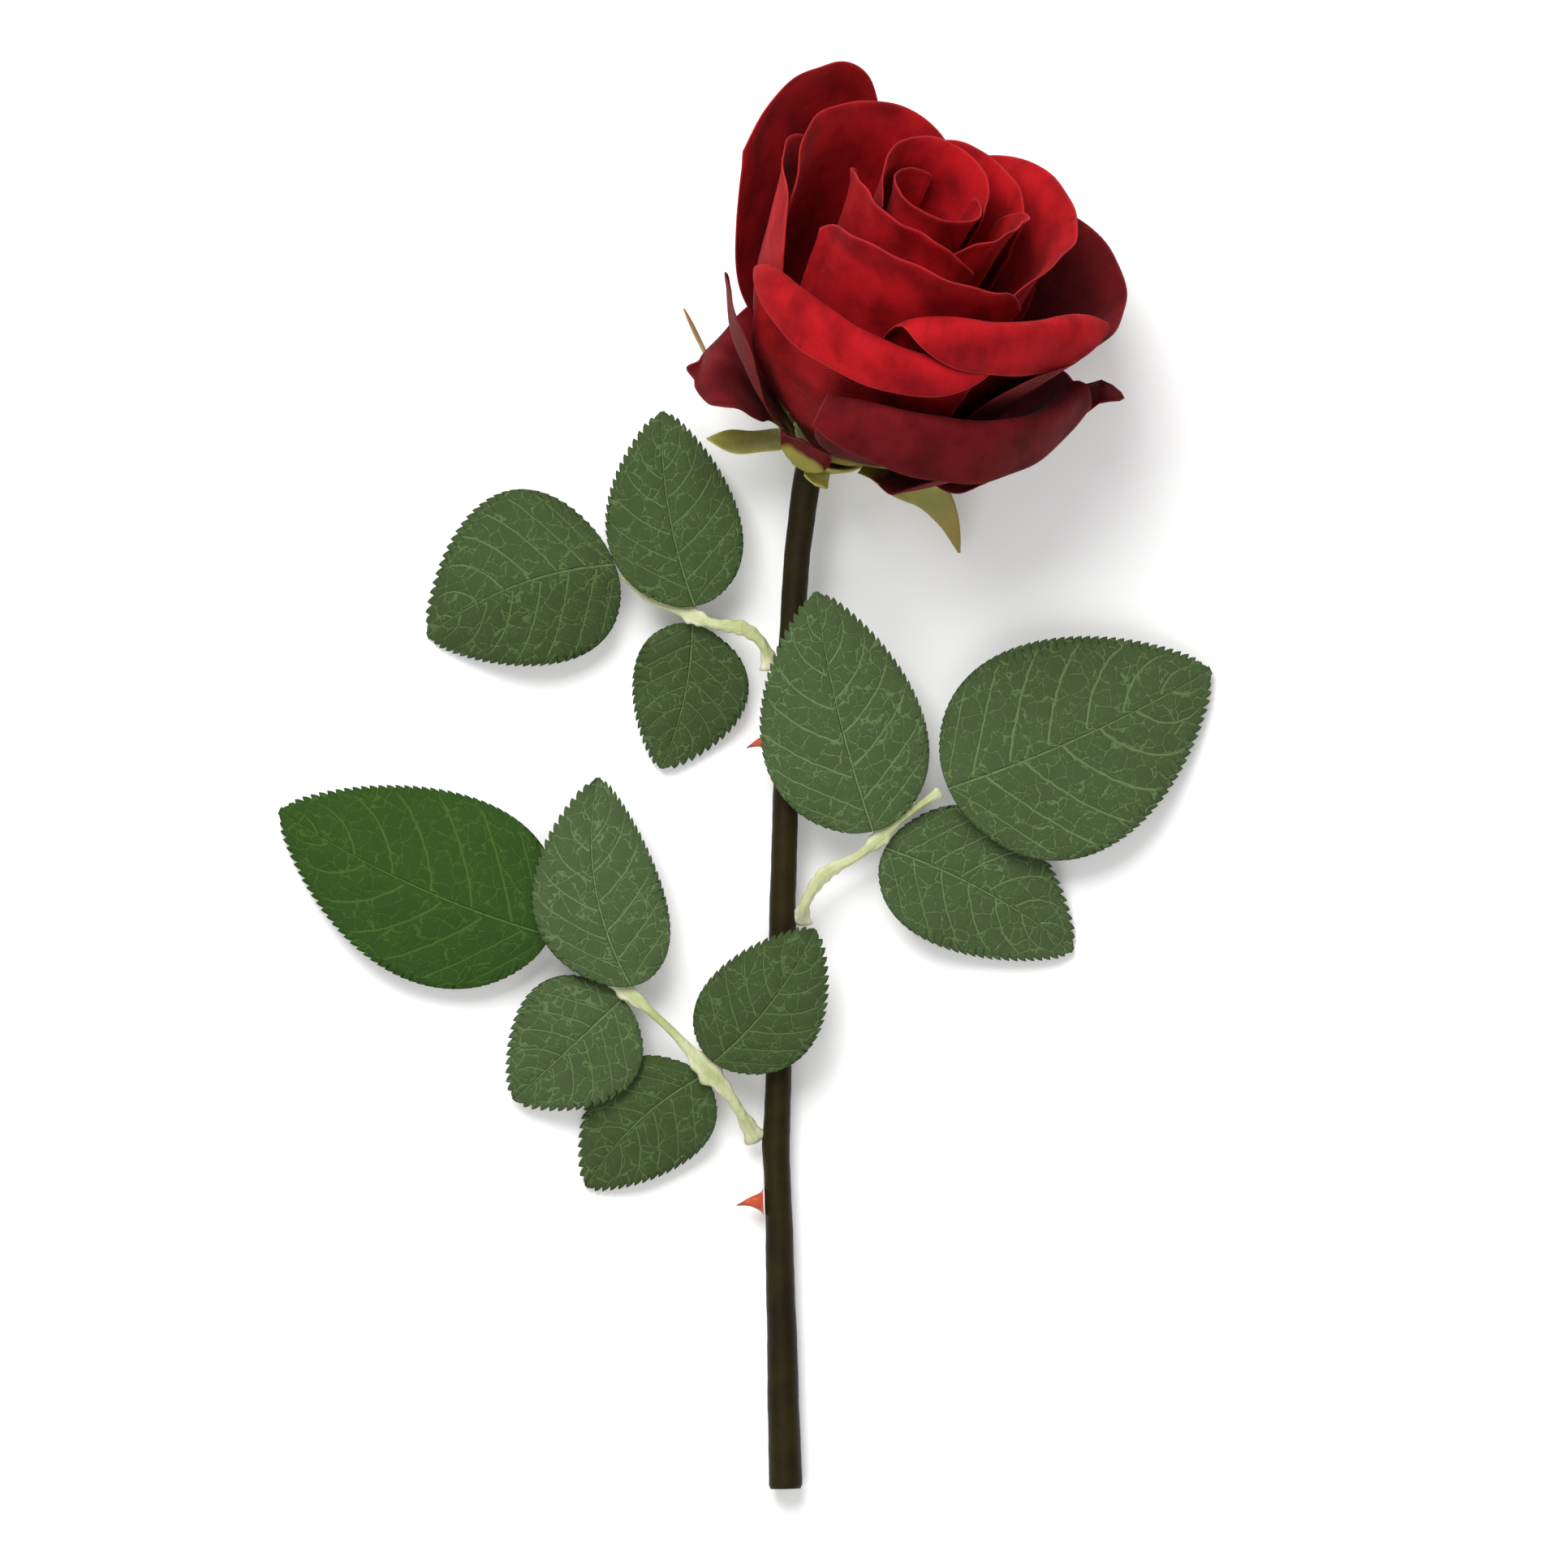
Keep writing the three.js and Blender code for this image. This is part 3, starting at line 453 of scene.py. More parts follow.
# %% [markdown]
# ## The petals
# A silk rose is built of rings of stamped petals, threaded over the core one inside the next. Each
# petal is one sheet: a side view from its foot to its rim, swept round the flower's axis. Sculpting
# each by hand would be loose from the solids, so they are swept from the same side views as the frame,
# with four extra touches of the hot iron: soft pleats that fan out from the foot, a wavy rim, a rim
# curled out a little, and a few bigger dents.

# %% Side views of the petals, as distance from the axis and height
PROFILES = {
    "low": [(11, 0.4), (18.5, 7.2), (30, 16.8), (40, 29.6), (46, 43), (50, 49), (53.5, 48),
            (55, 40), (54, 30)],
    "open": [(11, 0.4), (18.5, 7.2), (30, 16.8), (40, 28.8), (47, 42), (53, 52)],
    "wide": [(9, 4.2), (17.5, 10), (29, 19.2), (38, 32), (45, 48), (51, 60), (55, 69)],
    "fold": [(10, 2.4), (17.5, 9.6), (28, 20.8), (37, 34), (41, 48), (43.5, 60), (47, 64),
            (50.5, 61), (52, 52)],
    "high": [(9, 4.2), (16, 11.2), (25.5, 22.4), (33.5, 36), (38, 54), (41, 70), (45, 78),
            (50, 77), (53, 66)],
    "tall": [(9, 4.2), (15.8, 11.2), (26, 21.6), (34.8, 33), (40.5, 47), (45.5, 65),
            (47.5, 78), (46, 88)],
    "cup": [(7.8, 6.1), (14, 13.6), (22.5, 24), (28.5, 38), (31.5, 56), (34, 74), (38, 84)],
    "inner": [(6.2, 8.3), (10, 15.2), (15.5, 25.6), (19.5, 42), (21.5, 62), (23, 78), (25, 86)],
    "wrap": [(4.8, 10.1), (7.6, 19.2), (11, 30.4), (13, 46), (13.5, 64), (14, 80), (15.5, 88)],
    "spiral": [(3.3, 11), (5.4, 20), (8, 32), (9.3, 48), (10, 64), (10.7, 76), (11.7, 83)],
    "core": [(1.9, 11.5), (3.2, 21.6), (4.6, 34), (5.6, 50), (6, 62), (6.4, 70), (6.8, 75)],
    "lip": [(10, 2.4), (17.5, 9.6), (28, 20.8), (36, 33), (42, 46), (46, 56), (49, 60),
            (51, 58)],
    "apron": [(12.9, -3.2), (14.6, 0), (16.8, 4), (20, 8.5), (24, 12.6), (28, 15.5)],
    "side": [(11, 0.4), (16, 4.6), (22, 9.4), (28, 13.6), (32.5, 15), (35.5, 13), (36.5, 9)],
}
LINES = {name: profile_line(knots) for name, knots in PROFILES.items()}
print("side views:", ", ".join(LINES))

# %% Each petal: side view, place round the flower, half width in degrees, and how it differs
PETALS = {
    "outer_front_right": ("low", 42, 46, dict(length=0.97, corner=0.14, out=1, left_dip=7)),
    "outer_under_right": ("open", 50, 14, dict(length=0.6, corner=0.3, out=6.5, up=-3.4, tilt=-1.5,
                                               lean=-8)),
    "outer_small": ("apron", -10, 22, dict(length=0.8, corner=0.4, tilt=0, tip=0.12, out=1.6)),
    "outer_left": ("side", -78, 34, dict(corner=0.22, tip=0.12, up=-2.6, left_dip=-11.5, out=1)),
    "outer_left_back": ("open", -127, 13, dict(length=0.72, out=-2.4, corner=0.25, up=4.5)),
    "outer_back": ("low", 178, 50, dict(length=0.8, out=5)),
    "outer_right": ("open", 102, 32, dict(length=0.86, out=8, up=-10, tip=0.3, flare=3)),
    "rolled_left": ("lip", -56, 24, dict(corner=0.2, out=2, lean=-12, up=-5, length=0.8)),
    "rolled_front_left": ("fold", -5, 46, dict(corner=0.16, up=1.4, left_dip=7)),
    "rolled_front_right": ("high", 45, 40, dict(corner=0.2, up=-1, flare=8, dip=5, left_dip=11, out=-0.3)),
    "wide_right": ("wide", 99, 50, dict(corner=0.08, out=1.4)),
    "tall_left": ("tall", -121, 31, dict(corner=0.2, out=0.6)),
    "tall_back": ("tall", 168, 50, dict(length=0.74)),
    "cup_front": ("cup", 8, 56, dict(corner=0.16)),
    "cup_left": ("cup", -88, 38, dict(corner=0.2, out=5.2, tilt=0, lean=-28, left_dip=4, length=0.9)),
    "cup_back": ("cup", -128, 58, dict(corner=0.16, length=0.98)),
    "cup_right": ("cup", 116, 60, dict(corner=0.16, flare=3)),
    "inner_front": ("inner", -25, 68, dict(corner=0.12)),
    "inner_right": ("inner", 78, 52, dict(corner=0.16, out=-2.2)),
    "inner_back": ("inner", 160, 58, dict(corner=0.16, out=1.6, up=-3, tilt=0)),
    "bud_back": ("wrap", -158, 110, dict(corner=0.12, tip=0.03, tilt=1, out=-0.25)),
    "bud_front": ("spiral", -12, 150, dict(corner=0.04, tilt=1)),
    "bud_centre": ("core", 165, 155, dict(corner=0.1, tilt=0.8, up=-8)),
}
PETAL_USUAL = dict(length=1, corner=0.3, out=0, up=0, tilt=2, lean=0, tip=0, flare=0, dip=0,
                   left_flare=0, left_dip=0)
print("petals:", len(PETALS))

# %% The sizes of a petal's surface
PETAL_THICKNESS = 0.42
PETAL_ROWS = 46
PETAL_COLUMNS = 44
ROW_CROWDING = 0.8          # below 1, the rows stand closer towards the rim
BASE_WIDTH = 0.45           # of a petal at its foot, as a share of its full width
WIDE_FROM = 0.5             # share of its length where it has its full width
TIP_WIDTH = 0.16            # of a pointed tip, as a share of the half width
FOOT_SETTLED = 0.5          # share of a petal's move outwards that its foot takes
FOOT_LENGTH = 0.25          # share of its length where it has moved outwards in full
RAISED = (0.2, 0.8)         # a raised petal rises between these shares of its length
OVERHANG = 0.8              # outward run of what is longer than the side view
CORNER_POWER = 3            # higher keeps the cut-away corners nearer a petal's sides
print("points in a petal:", (PETAL_ROWS + 1) * (PETAL_COLUMNS + 1))

# %% The petal surface
def petal_sheet(shape, place_round, half, changes):
    """The middle surface of one petal as a grid of points, with the shares along and across it."""
    petal = {**PETAL_USUAL, **changes}
    line, length = LINES[shape]
    along = (np.arange(PETAL_ROWS + 1) / PETAL_ROWS)[:, None] ** ROW_CROWDING
    across = np.linspace(-1, 1, PETAL_COLUMNS + 1)[None, :]
    spread = BASE_WIDTH + (1 - BASE_WIDTH) * smooth(along, 0, WIDE_FROM)
    settle = np.minimum(1, FOOT_SETTLED + (1 - FOOT_SETTLED) / FOOT_LENGTH * along)
    side = abs(across) ** CORNER_POWER
    point = np.exp(-((across / TIP_WIDTH) ** 2))
    travelled = along * petal["length"] * (1 - petal["corner"] * side + petal["tip"] * point)
    reached = np.minimum(1, travelled) * length[-1]
    outward = np.interp(reached, length, line[:, 0])
    height = np.interp(reached, length, line[:, 1])
    bend = side * along ** 2
    flare = np.where(across > 0, petal["flare"], petal["left_flare"]) * bend
    dip = np.where(across > 0, petal["dip"], petal["left_dip"]) * bend
    beyond = np.maximum(0, travelled - 1) * length[-1]
    outward = outward + (petal["tilt"] * across + petal["out"]) * settle + flare + OVERHANG * beyond
    height = height + petal["up"] * smooth(along, *RAISED) - dip
    turn = place_round - petal["lean"] * (1 - along) + across * half * spread
    return in_bloom(outward, turn, height), along + 0 * across, across + 0 * along


print("side views ready for petals:", sorted(LINES))

# %% What the hot iron does to a petal: depths in millimetres, waves over its half width
PLEAT_DEPTH, PLEATS = 0.22, 5
RUFFLES = ((0.55, 2.1), (0.3, 5.3))
RUFFLE_POWER = 7            # how close to the rim the ruffle stays
NARROW = 18                 # degrees of half width that have one wave
WRAPPED = 100               # petals with a wider half width are wrapped tightly
WRAPPED_RUFFLE = 0.25       # and have this share of the ruffle
CURL, CURL_FROM = 0.35, 0.93
DENT_DEPTH, DENTS_ACROSS, DENTS_ALONG = 0.35, 3.1, 7


def pressed(grid, along, across, half, seed):
    """The same sheet after the hot iron: pleats, a wavy rim, a slight curl and dents."""
    chance = np.random.default_rng(seed)
    phase = chance.uniform(0, 2 * math.pi, 6)
    waves = half / NARROW
    pleats = PLEAT_DEPTH * np.sin(across * waves * PLEATS + phase[0]) * np.sin(math.pi * along) ** 2
    loose = WRAPPED_RUFFLE if half > WRAPPED else 1.0
    ruffle = loose * along ** RUFFLE_POWER * sum(
        depth * np.sin(across * waves * count + start) for (depth, count), start in zip(RUFFLES, phase[1:]))
    edge = smooth(along, CURL_FROM, 1.0) + smooth(abs(across), CURL_FROM, 1.0) * along
    dents = np.sin(across * DENTS_ACROSS + phase[3]) * np.sin(along * DENTS_ALONG + phase[4]) * along
    normals = sheet_normals(grid.reshape(-1, 3), grid_faces(*grid.shape[:2])).reshape(grid.shape)
    facing = np.sign(((grid - BLOOM_BASE) * normals).sum(-1).mean() or 1)
    return grid + normals * facing * (pleats + ruffle + DENT_DEPTH * dents + CURL * edge)[..., None]


def flat_places(grid):
    """The place of each point on the flat cloth in millimetres, and its distance from the free rim."""
    columns = np.linalg.norm(np.diff(grid, axis=0), axis=2)
    up = np.vstack([np.zeros((1, grid.shape[1])), np.cumsum(columns, axis=0)])
    rows = np.linalg.norm(np.diff(grid, axis=1), axis=2)
    sideways = np.hstack([np.zeros((grid.shape[0], 1)), np.cumsum(rows, axis=1)])
    middle = sideways - sideways[:, -1:] / 2
    rim = np.minimum(np.minimum(up[-1:] - up, sideways), sideways[:, -1:] - sideways)
    return np.stack([middle, up, 0 * up], -1), rim


print("waves of the ruffle:", [count for depth, count in RUFFLES])

# %% The petals
# these petals take the darker wine cloth, partly painted shade where they turn away from the light
SHADED_WINE_PETALS = ("outer_", "rolled_left", "wide_right")
CLOTH_SPACING = 37.0        # between two petals on the flat cloth, so that no two look the same
for seed, (name, (shape, place_round, half, changes)) in enumerate(PETALS.items()):
    grid, along, across = petal_sheet(shape, place_round, half, changes)
    grid = pressed(grid, along, across, half, seed)
    flat, rim = flat_places(grid)
    flat = flat + np.array([0, CLOTH_SPACING * seed, 0])
    notes = {"cloth": flat.reshape(-1, 3), "rim": rim.ravel(), "share": along.ravel()}
    solid, faces, notes = thicken(grid.reshape(-1, 3), grid_faces(*grid.shape[:2]), PETAL_THICKNESS, notes)
    finish = PETAL_WINE_SHADED if name.startswith(SHADED_WINE_PETALS) else PETAL_RED
    if name == "outer_small":
        finish = PETAL_GREEN_FOOT
    add_piece("petal_" + name + "_cloth", solid, faces, finish, "petal_fabric", notes)
print("made", len(PETALS), "petals of", (PETAL_ROWS + 1) * (PETAL_COLUMNS + 1), "points each")

# %% [markdown]
# ## Moulded plastic
# Calyx, core, stem, stalks and thorns are soft plastic, coloured all through. It could be one flat
# colour with some gloss, but then it looks like wax. Real mouldings are a little cloudy, speckled by the
# mould's skin and faintly lined along their length. One function makes all of them, so that they look
# like one maker's work, and a value kept on the mesh says where a second colour has run in.

# %% Moulded finishes
def moulded(name, light, deep, gloss, speckle, relief, blush=None, **steady):
    """A moulded soft plastic: two tones in clouds, fine speckle, and a blush where the note says."""
    plastic = Finish(name, **steady)
    place = plastic.node("TexCoord", {}, {}, out="Object")
    clouds = plastic.noise(place, 60.0, 4.0, 0.6)
    grain = plastic.noise(place, 900.0, 2.0, 0.6)
    stretch = plastic.node("VectorMath", {"operation": "MULTIPLY"}, {0: place, 1: (900.0, 60.0, 900.0)})
    lines = plastic.noise(stretch, 1.0, 2.0)
    colour = plastic.mix(plastic.step(clouds, 0.35, 0.65), deep, light)
    colour = plastic.mix(plastic.step(grain, 0.55, 0.75) * speckle, colour, darker(deep, 0.5))
    if blush:
        colour = plastic.mix(plastic.note("blush") * plastic.step(clouds, 0.3, 0.6), colour, blush)
    roughness = gloss + grain * 0.18 + clouds * 0.1
    return plastic.finish(colour, roughness, grain * 0.5 + lines, relief)


print("moulded finishes can be made")

# %% [markdown]
# ## Core and calyx
# Under the petals a small turned cone carries them, and the calyx, a soft green cup with five long
# sepals, hides the joint. The sepals could be five loose sheets, but the real one is moulded as one
# star, so the cup and its sepals are joined into one closed body with a Boolean.

# %% The greens of the calyx and the core
CALYX_GREEN = moulded("calyx green", (0.40, 0.37, 0.085), (0.26, 0.25, 0.05), 0.45, 0.3, 0.0002,
                      blush=(0.30, 0.13, 0.03), subsurface_weight=0.08, subsurface_scale=0.002)
CORE_GREEN = moulded("core green", (0.40, 0.40, 0.18), (0.26, 0.27, 0.10), 0.5, 0.2, 0.0002)
print("calyx and core finishes are ready")

# %% The core cone
CORE_FINE_SIDES = 48
CORE_STEP = 6               # every sixth point of the smooth line has a ring
core_line = profile_line(CORE_PROFILE[1:-1])[0][::CORE_STEP]
core_turns = (360 / CORE_FINE_SIDES) * np.arange(CORE_FINE_SIDES)[None, :]
core_rings = in_bloom(core_line[:, :1], core_turns, core_line[:, 1:])
add_piece("bloom_core_moulding", *ring_skin(core_rings), CORE_GREEN, "core_plastic")
print("core rings:", len(core_rings))

# %% The sizes of the calyx; a sepal is its place round, half width, twist and middle line
CALYX_MIDDLE = [(4.45, -7.6), (6, -6.95), (9.0, -4.3), (11.9, -1.4)]
CALYX_THICKNESS = 1.0
CALYX_SIDES = 72
CALYX_STEP = 8              # every eighth point of the smooth line has a ring
SEPALS = [
    (-112, 3.6, 40, [(9.5, -3.6), (20, -4.5), (36, -4.5), (51, 5)]),
    (-66, 4.6, 0, [(9.5, -3.6), (15, -6), (22, -8), (30, -8)]),
    (12, 3.4, 0, [(9.5, -4.4), (12, -5.8), (14.5, -5.4), (17, -3.4)]),
    (101, 4.4, 80, [(9.5, -3.6), (20, -6), (30.8, -7), (38.5, -12.5), (45, -20.5)]),
    (172, 4, 0, [(9.5, -3.6), (14, -4), (20, -3), (25, 0)]),
]
SEPAL_ROWS = 40
SEPAL_COLUMNS = 10
SEPAL_TWIST_END = 0.5       # share of its length where a sepal is fully turned
SEPAL_FOOT = 0.22           # where on a sine wave the outline starts; it ends at 1
SEPAL_OUTLINE = 0.8         # root of the outline, below 1 is fuller
SEPAL_POINT = 0.05          # least half width, as a share of the widest
SEPAL_TROUGH = 0.25         # lift of the edges, as a share of the half width
SEPAL_THICK, SEPAL_THIN = 0.8, 0.45
SEPAL_WAVE, SEPAL_WAVES = 0.08, 9           # how uneven its width is
SEPAL_SWAY, SEPAL_SWAYS = 0.35, 5           # how far it turns to and fro, in radians
BLUSH_FROM, BLUSH_TO = 28, 52       # distances from the axis where sepal tips turn brown
print("sepals:", len(SEPALS))

# %% The sepal surface
def sepal_sheet(turn, half, twist, line, seed):
    """The middle surface of one sepal: a narrow leaf with lifted edges and a pointed, twisted tip."""
    knots, length = profile_line(line)
    along = np.linspace(0, 1, SEPAL_ROWS + 1)[:, None]
    across = np.linspace(-1, 1, SEPAL_COLUMNS + 1)[None, :]
    outward = np.interp(along * length[-1], length, knots[:, 0])
    height = np.interp(along * length[-1], length, knots[:, 1])
    width = half * np.maximum(
        SEPAL_POINT, np.sin(math.pi * (SEPAL_FOOT + (1 - SEPAL_FOOT) * along)) ** SEPAL_OUTLINE)
    width = width * (1 + SEPAL_WAVE * np.sin(SEPAL_WAVES * along + seed))
    lift = SEPAL_TROUGH * width * abs(across)
    angle = math.radians(turn)
    sideways = BLOOM_RIGHT * math.cos(angle) - BLOOM_UPPER * math.sin(angle)
    away = BLOOM_RIGHT * math.sin(angle) + BLOOM_UPPER * math.cos(angle)
    heading = unit(np.stack([np.gradient(outward[:, 0]), np.gradient(height[:, 0])], 1))
    upright = heading[:, :1] * BLOOM_AXIS - heading[:, 1:] * away
    sway = SEPAL_SWAY * np.sin(SEPAL_SWAYS * along + seed) * along
    turned = np.radians(twist) * smooth(along, 0, SEPAL_TWIST_END) + sway
    blade = np.cos(turned) * sideways + np.sin(turned) * upright
    middle = in_bloom(outward + 0 * across, turn, height + lift)
    return middle + (across * width)[..., None] * blade[:, None, :]


print("points in a sepal:", (SEPAL_ROWS + 1) * (SEPAL_COLUMNS + 1))

# %% Loose meshes, and joining them
def joined(first, second):
    """Joins two closed meshes into one body."""
    modifier = first.modifiers.new("join", "BOOLEAN")
    modifier.operation = "UNION"
    modifier.solver = "EXACT"
    modifier.object = second
    bpy.context.view_layer.update()
    whole = bpy.data.meshes.new_from_object(first.evaluated_get(bpy.context.evaluated_depsgraph_get()))
    first.modifiers.clear()
    first.data = whole
    bpy.data.objects.remove(second)


def loose_piece(name, points, faces):
    """A mesh object of its own, in millimetres of the maker's frame."""
    if signed_volume(points - points.mean(0), faces) < 0:
        faces = [list(face)[::-1] for face in faces]
    mesh = bpy.data.meshes.new(name)
    mesh.from_pydata(points.tolist(), [], [[int(k) for k in face] for face in faces])
    piece = bpy.data.objects.new(name, mesh)
    bpy.context.scene.collection.objects.link(piece)
    return piece


print("tools for the calyx are ready")

# %% The calyx
cup_line = profile_line(CALYX_MIDDLE)[0][::CALYX_STEP]
cup_turns = (360 / CALYX_SIDES) * np.arange(CALYX_SIDES)[None, :]
cup_grid = in_bloom(cup_line[:, :1], cup_turns, cup_line[:, 1:])
cup_faces = grid_faces(*cup_grid.shape[:2], wraps=True)
cup = loose_piece("calyx_cup", *thicken(cup_grid.reshape(-1, 3), cup_faces, CALYX_THICKNESS, {})[:2])
for seed, (turn, half, twist, line) in enumerate(SEPALS):
    sepal_grid = sepal_sheet(turn, half, twist, line, seed)
    thickness = np.repeat(np.linspace(SEPAL_THICK, SEPAL_THIN, SEPAL_ROWS + 1), SEPAL_COLUMNS + 1)
    sepal = loose_piece("sepal", *thicken(sepal_grid.reshape(-1, 3), grid_faces(*sepal_grid.shape[:2]),
                                          thickness, {})[:2])
    joined(cup, sepal)
calyx_points = np.array([v.co for v in cup.data.vertices])
calyx_faces = [list(p.vertices) for p in cup.data.polygons]
bpy.data.objects.remove(cup)
from_base = calyx_points - BLOOM_BASE
from_axis = np.linalg.norm(from_base - np.outer(from_base @ BLOOM_AXIS, BLOOM_AXIS), axis=1)
add_piece("calyx_moulding", calyx_points, calyx_faces, CALYX_GREEN, "calyx_plastic",
          {"blush": smooth(from_axis, BLUSH_FROM, BLUSH_TO)})
print("calyx: one body of", len(calyx_faces), "faces")

# %% [markdown]
# ## The stem
# The stem is moulded over a steel wire: dark olive, half glossy, a little thicker at the cut end, with
# a swelling where each stalk leaves and a fine mould line down its side. A curve with a round bevel
# would be quick, but it has one radius all round. Rings of points have a radius for each side, so the
# swellings face their stalks and the mould line stands out. The stem is a tube, because the wire runs
# in its middle and shows at the cut.

# %% The stem's line and thickness
STEM_RADII = dict(end=4.3, middle=3.3, neck=3.6)
STEM_BENDS = [(0, 0), (0.11, -0.7), (0.245, -1.6), (0.34, -2.3), (0.4, -1.9), (0.5, -1.2), (0.6, -0.6),
              (0.69, 0.2), (0.8, 1.2), (0.9, 2.7), (0.95, 4)]
STEM_SAG = 2
STEM_SWELLINGS = [(0, 1), (0.12, 0.6), (0.26, 0.15), (0.4, 0), (0.9, 0), (0.97, 1), (1, 1)]
WIRE_RADIUS = 0.9
WIRE_CLEARANCE = 0.3
STALK_STARTS = {"upper": (212.7, -1), "right": (146.4, 1), "lower": (90.1, -1)}
STEM_STEPS = 260
STEM_SIDES = 40
STEM_TOP_BELOW = 4.8        # the stem's end, below the foot of the flower along its axis
STEM_TURN_UP = 7            # length of the straight end
stem_top = BLOOM_BASE - STEM_TOP_BELOW * BLOOM_AXIS
stem_bend = BLOOM_BASE - (STEM_TOP_BELOW + STEM_TURN_UP) * BLOOM_AXIS
stem_start = np.array([0, 0, STEM_RADII["end"]])
stem_rise = stem_bend - stem_start
stem_knots = [np.array([sideways, stem_rise[1] * share, stem_start[2] + stem_rise[2] * share ** STEM_SAG])
              for share, sideways in STEM_BENDS]
stem_knots += [stem_bend, (stem_bend + stem_top) / 2, stem_top]
stem_centre, _, stem_side, stem_normal, stem_walk = rod_line(stem_knots, STEM_STEPS)
swelling = np.interp(stem_walk / stem_walk[-1], *np.array(STEM_SWELLINGS).T)
ends = np.where(stem_walk < stem_walk[-1] / 2, STEM_RADII["end"], STEM_RADII["neck"])
STEM_RADIUS = STEM_RADII["middle"] + (ends - STEM_RADII["middle"]) * swelling
print("stem length, mm:", round(float(stem_walk[-1]), 1))

# %% Rings round a line
def ring_points(centre, side, normal, radii):
    """Rings round a line. radii has a value for each station and each side of the ring."""
    angle = np.linspace(0, 2 * math.pi, radii.shape[1], endpoint=False)
    return (centre[:, None] + (radii * np.cos(angle))[..., None] * side[:, None]
            + (radii * np.sin(angle))[..., None] * normal[:, None])


def stem_at(y):
    """The stem's middle point and radius at a distance along the table."""
    centre = np.array([np.interp(y, stem_centre[:, 1], axis) for axis in stem_centre.T])
    return centre, float(np.interp(y, stem_centre[:, 1], STEM_RADIUS))


print("thickness of the stem at the lowest stalk, mm:",
      round(2 * stem_at(STALK_STARTS["lower"][0])[1], 1))

# %% The stem's skin: sizes in millimetres
STALK_SWELLING, STALK_SWELLING_REACH = 0.35, 4.5
MOULD_LINE, MOULD_LINE_WIDTH = 0.06, 0.08
STEM_RIPPLES = ((31, 0.06), (13, 0.035), (5.3, 0.02))
BEVEL_LENGTH, BEVEL_DEPTH = 0.8, 0.45
STEM_SEED = 5


def stem_skin():
    """The outer skin with its swellings and mould lines, the cut ends, and the bore for the wire."""
    chance = np.random.default_rng(STEM_SEED)
    angle = np.linspace(0, 2 * math.pi, STEM_SIDES, endpoint=False)[None, :]
    walk = stem_walk[:, None]
    radii = STEM_RADIUS[:, None] + 0 * angle
    for start, side in STALK_STARTS.values():
        near = np.exp(-((stem_centre[:, 1:2] - start) / STALK_SWELLING_REACH) ** 2)
        radii = radii + STALK_SWELLING * near * (1 + side * np.cos(angle)) / 2
    radii = radii + MOULD_LINE * np.exp(-((np.sin(angle) / MOULD_LINE_WIDTH) ** 2))
    for pitch, depth in STEM_RIPPLES:
        start = 2 * np.cos(angle + pitch) + chance.uniform(0, 6)
        radii = radii + depth * np.sin(2 * math.pi * walk / pitch + start)
    bevel = np.minimum(1, np.minimum(walk, stem_walk[-1] - walk) / BEVEL_LENGTH)
    radii = radii - BEVEL_DEPTH * (1 - bevel) ** 2
    outer = ring_points(stem_centre, stem_side, stem_normal, radii)
    bore = np.full((2, STEM_SIDES), WIRE_RADIUS + WIRE_CLEARANCE)
    inner = ring_points(stem_centre, stem_side, stem_normal, np.repeat(bore[:1], STEM_STEPS + 1, 0))
    return ring_skin(np.concatenate([outer, inner[::-1]]), loop=True)


print("rings along the stem:", STEM_STEPS + 1)

# %% The stem and its wire
WIRE_SIDES = 16
STEM_OLIVE = moulded("stem olive", (0.021, 0.0145, 0.0010), (0.010, 0.0070, 0.0006), 0.4, 0.2, 0.00008,
                     specular_ior_level=0.14)
WIRE_STEEL = moulded("wire steel", (0.52, 0.52, 0.51), (0.36, 0.35, 0.34), 0.28, 0.3, 0.0001, metallic=1.0)
add_piece("stem_moulding", *stem_skin(), STEM_OLIVE, "stem_plastic")
wire_radii = np.full((STEM_STEPS + 1, WIRE_SIDES), WIRE_RADIUS)
add_piece("stem_wire_steel", *ring_skin(ring_points(stem_centre, stem_side, stem_normal, wire_radii)),
          WIRE_STEEL, "wire_steel")
print("stem and wire are made")

# %% [markdown]
# ## Leaf stalks
# The stalks are moulded in a pale green and pushed on to the stem. Where one leaves the stem, and at
# each pair of leaflets, it spreads into thin side wings, the flash of its mould. Wings could be flat
# pieces joined on, but a seam would show. Here the radius of each ring swells at its two sides, so rod
# and wings are one skin.

